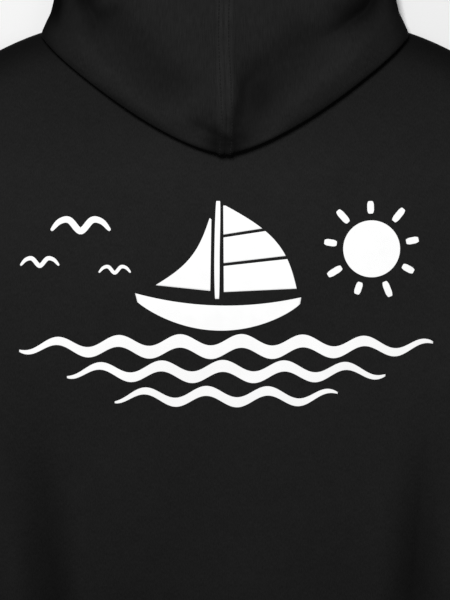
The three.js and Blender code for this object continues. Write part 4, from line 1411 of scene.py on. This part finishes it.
# The hull lies between a parabola and a power of a sine, the mast is a stroke, the mainsail is three
# panels between its mast edge and its curved edge, and the jib is one.
def boatInk(b):
    t = np.linspace(0.0, 1.0, 70)
    deck = np.column_stack([mix(*b["deck"], t), b["deckY"] + b["sheer"] * (2 * t - b["sheerMiddle"]) ** 2])
    belly = b["keelDeep"] * np.sin(math.pi * mix(*b["keelSpan"], t)) ** b["keelPower"]
    keel = np.column_stack([mix(*b["keel"], t), deck[:, 1] - b["keelEnds"] - belly])
    yield inkPatch(keel, deck, 8)
    yield inkStroke(b["mast"], b["mastHalf"], b["mastBlunt"])
    head = np.array(b["head"])
    for low, high in b["panels"]:
        share = np.linspace(low, high, 26)[:, None]
        leech = sailEdge(b["clew"], head + b["headBoard"], b["belly"], share)
        yield inkPatch(mix(np.array(b["foot"]), head, share), leech, 14)
    share = np.linspace(0.0, 1.0, 40)[:, None]
    luff = mix(np.array(b["jibLuff"][0]), np.array(b["jibLuff"][1]), share)
    yield inkPatch(sailEdge(*b["jibLeech"], b["jibBelly"], share), luff, 12)


sun = {
    "at": (128.0, 44.0), "radius": 25.0, "rays": 9, "turned": 0.2, "rayFrom": 6.0, "rayTo": 17.0,
    "longer": 3.0, "rayHalf": 2.9, "rayBlunt": 0.5, "flat": 0.04,
}


# A disc between its lower and upper half circles, and short strokes round it, every other one longer.
def sunInk(s):
    middle = np.array(s["at"])
    turn = np.linspace(s["flat"], math.pi - s["flat"], 50)
    arc = np.column_stack([-np.cos(turn), np.sin(turn)]) * s["radius"]
    yield inkPatch(middle + arc * [1, -1], middle + arc, 16)
    for k in range(s["rays"]):
        a = math.tau * k / s["rays"] + s["turned"]
        out = np.array([math.cos(a), math.sin(a)])
        near, far = s["radius"] + s["rayFrom"], s["radius"] + s["rayTo"] + s["longer"] * (k % 2)
        ray = [middle + out * near, middle + out * (near + far) / 2, middle + out * far]
        yield inkStroke(ray, s["rayHalf"], s["rayBlunt"])


gulls = {
    "places": ((-128.0, 58.0, 26.0), (-164.0, 28.0, 17.0), (-98.0, 22.0, 14.0)),
    "wing": [(-1.0, 0.08), (-0.72, 0.38), (-0.4, 0.44), (-0.12, 0.14), (0.0, 0.06)],
    "half": 0.11, "blunt": 0.3,
}


# A gull is one stroke over both wings, whose points are shares of its size.
def gullInk(g):
    wings = g["wing"] + [(-across, up) for across, up in g["wing"][-2::-1]]
    for x, y, size in g["places"]:
        path = [(x + size * across, y + size * up) for across, up in wings]
        yield inkStroke(path, size * g["half"], g["blunt"])


# A generic picture in white: a small sailing boat on three waves, a sun and some gulls.
def makePrint():
    patches = [*waveInk(waves), *boatInk(boat), *sunInk(sun), *gullInk(gulls)]
    makePiece("back_print", patches, whiteInk)


makePrint()

floorLook = {
    "half": 14.0, "dark": grey(0.72), "light": grey(0.76), "driftScale": 3.0, "roughness": 0.85,
}


# The floor is a pale square whose shade drifts a little.
def makeFloor():
    f = floorLook
    s = Shader("pale_floor")
    drift = s.noise(s.node("ShaderNodeTexCoord", output="Object"), f["driftScale"])
    material = s.finish(Base_Color=s.blend(drift, f["dark"], f["light"]), Roughness=f["roughness"])
    mesh = bpy.data.meshes.new("floor")
    corners = [(x * f["half"], y * f["half"], 0) for x, y in ((-1, -1), (1, -1), (1, 1), (-1, 1))]
    mesh.from_pydata(corners, [], [(0, 1, 2, 3)])
    mesh.materials.append(material)
    floor = bpy.data.objects.new("floor", mesh)
    scene.collection.objects.link(floor)


lights = {
    "key": {"at": (-0.2, 0.74, 1.6), "aim": (0.0, 0.1, 0.0), "size": 0.5, "power": 32.0},
    "fill": {"at": (1.6, -1.8, 2.4), "aim": (0.0, 0.0, 0.0), "size": 2.0, "power": 7.0},
}
sky = {"shade": 0.95, "strength": 0.13}


# A small key lamp above the hood, a wide weak one from the hem's side, and an even pale sky.
def makeLights():
    for name, lit in lights.items():
        data = bpy.data.lights.new(name, "AREA")
        data.size, data.energy = lit["size"], lit["power"]
        lamp = bpy.data.objects.new(name, data)
        lamp.location = lit["at"]
        lamp.rotation_euler = (Vector(lit["aim"]) - lamp.location).to_track_quat("-Z", "Y").to_euler()
        lamp.visible_camera = False
        scene.collection.objects.link(lamp)
    world = bpy.data.worlds.new("sky")
    world.use_nodes = True
    background = world.node_tree.nodes["Background"]
    background.inputs["Color"].default_value = grey(sky["shade"])
    background.inputs["Strength"].default_value = sky["strength"]
    scene.world = world
    scene.view_settings.view_transform = "Standard"


makeFloor()
makeLights()
print("floor and lights ready")
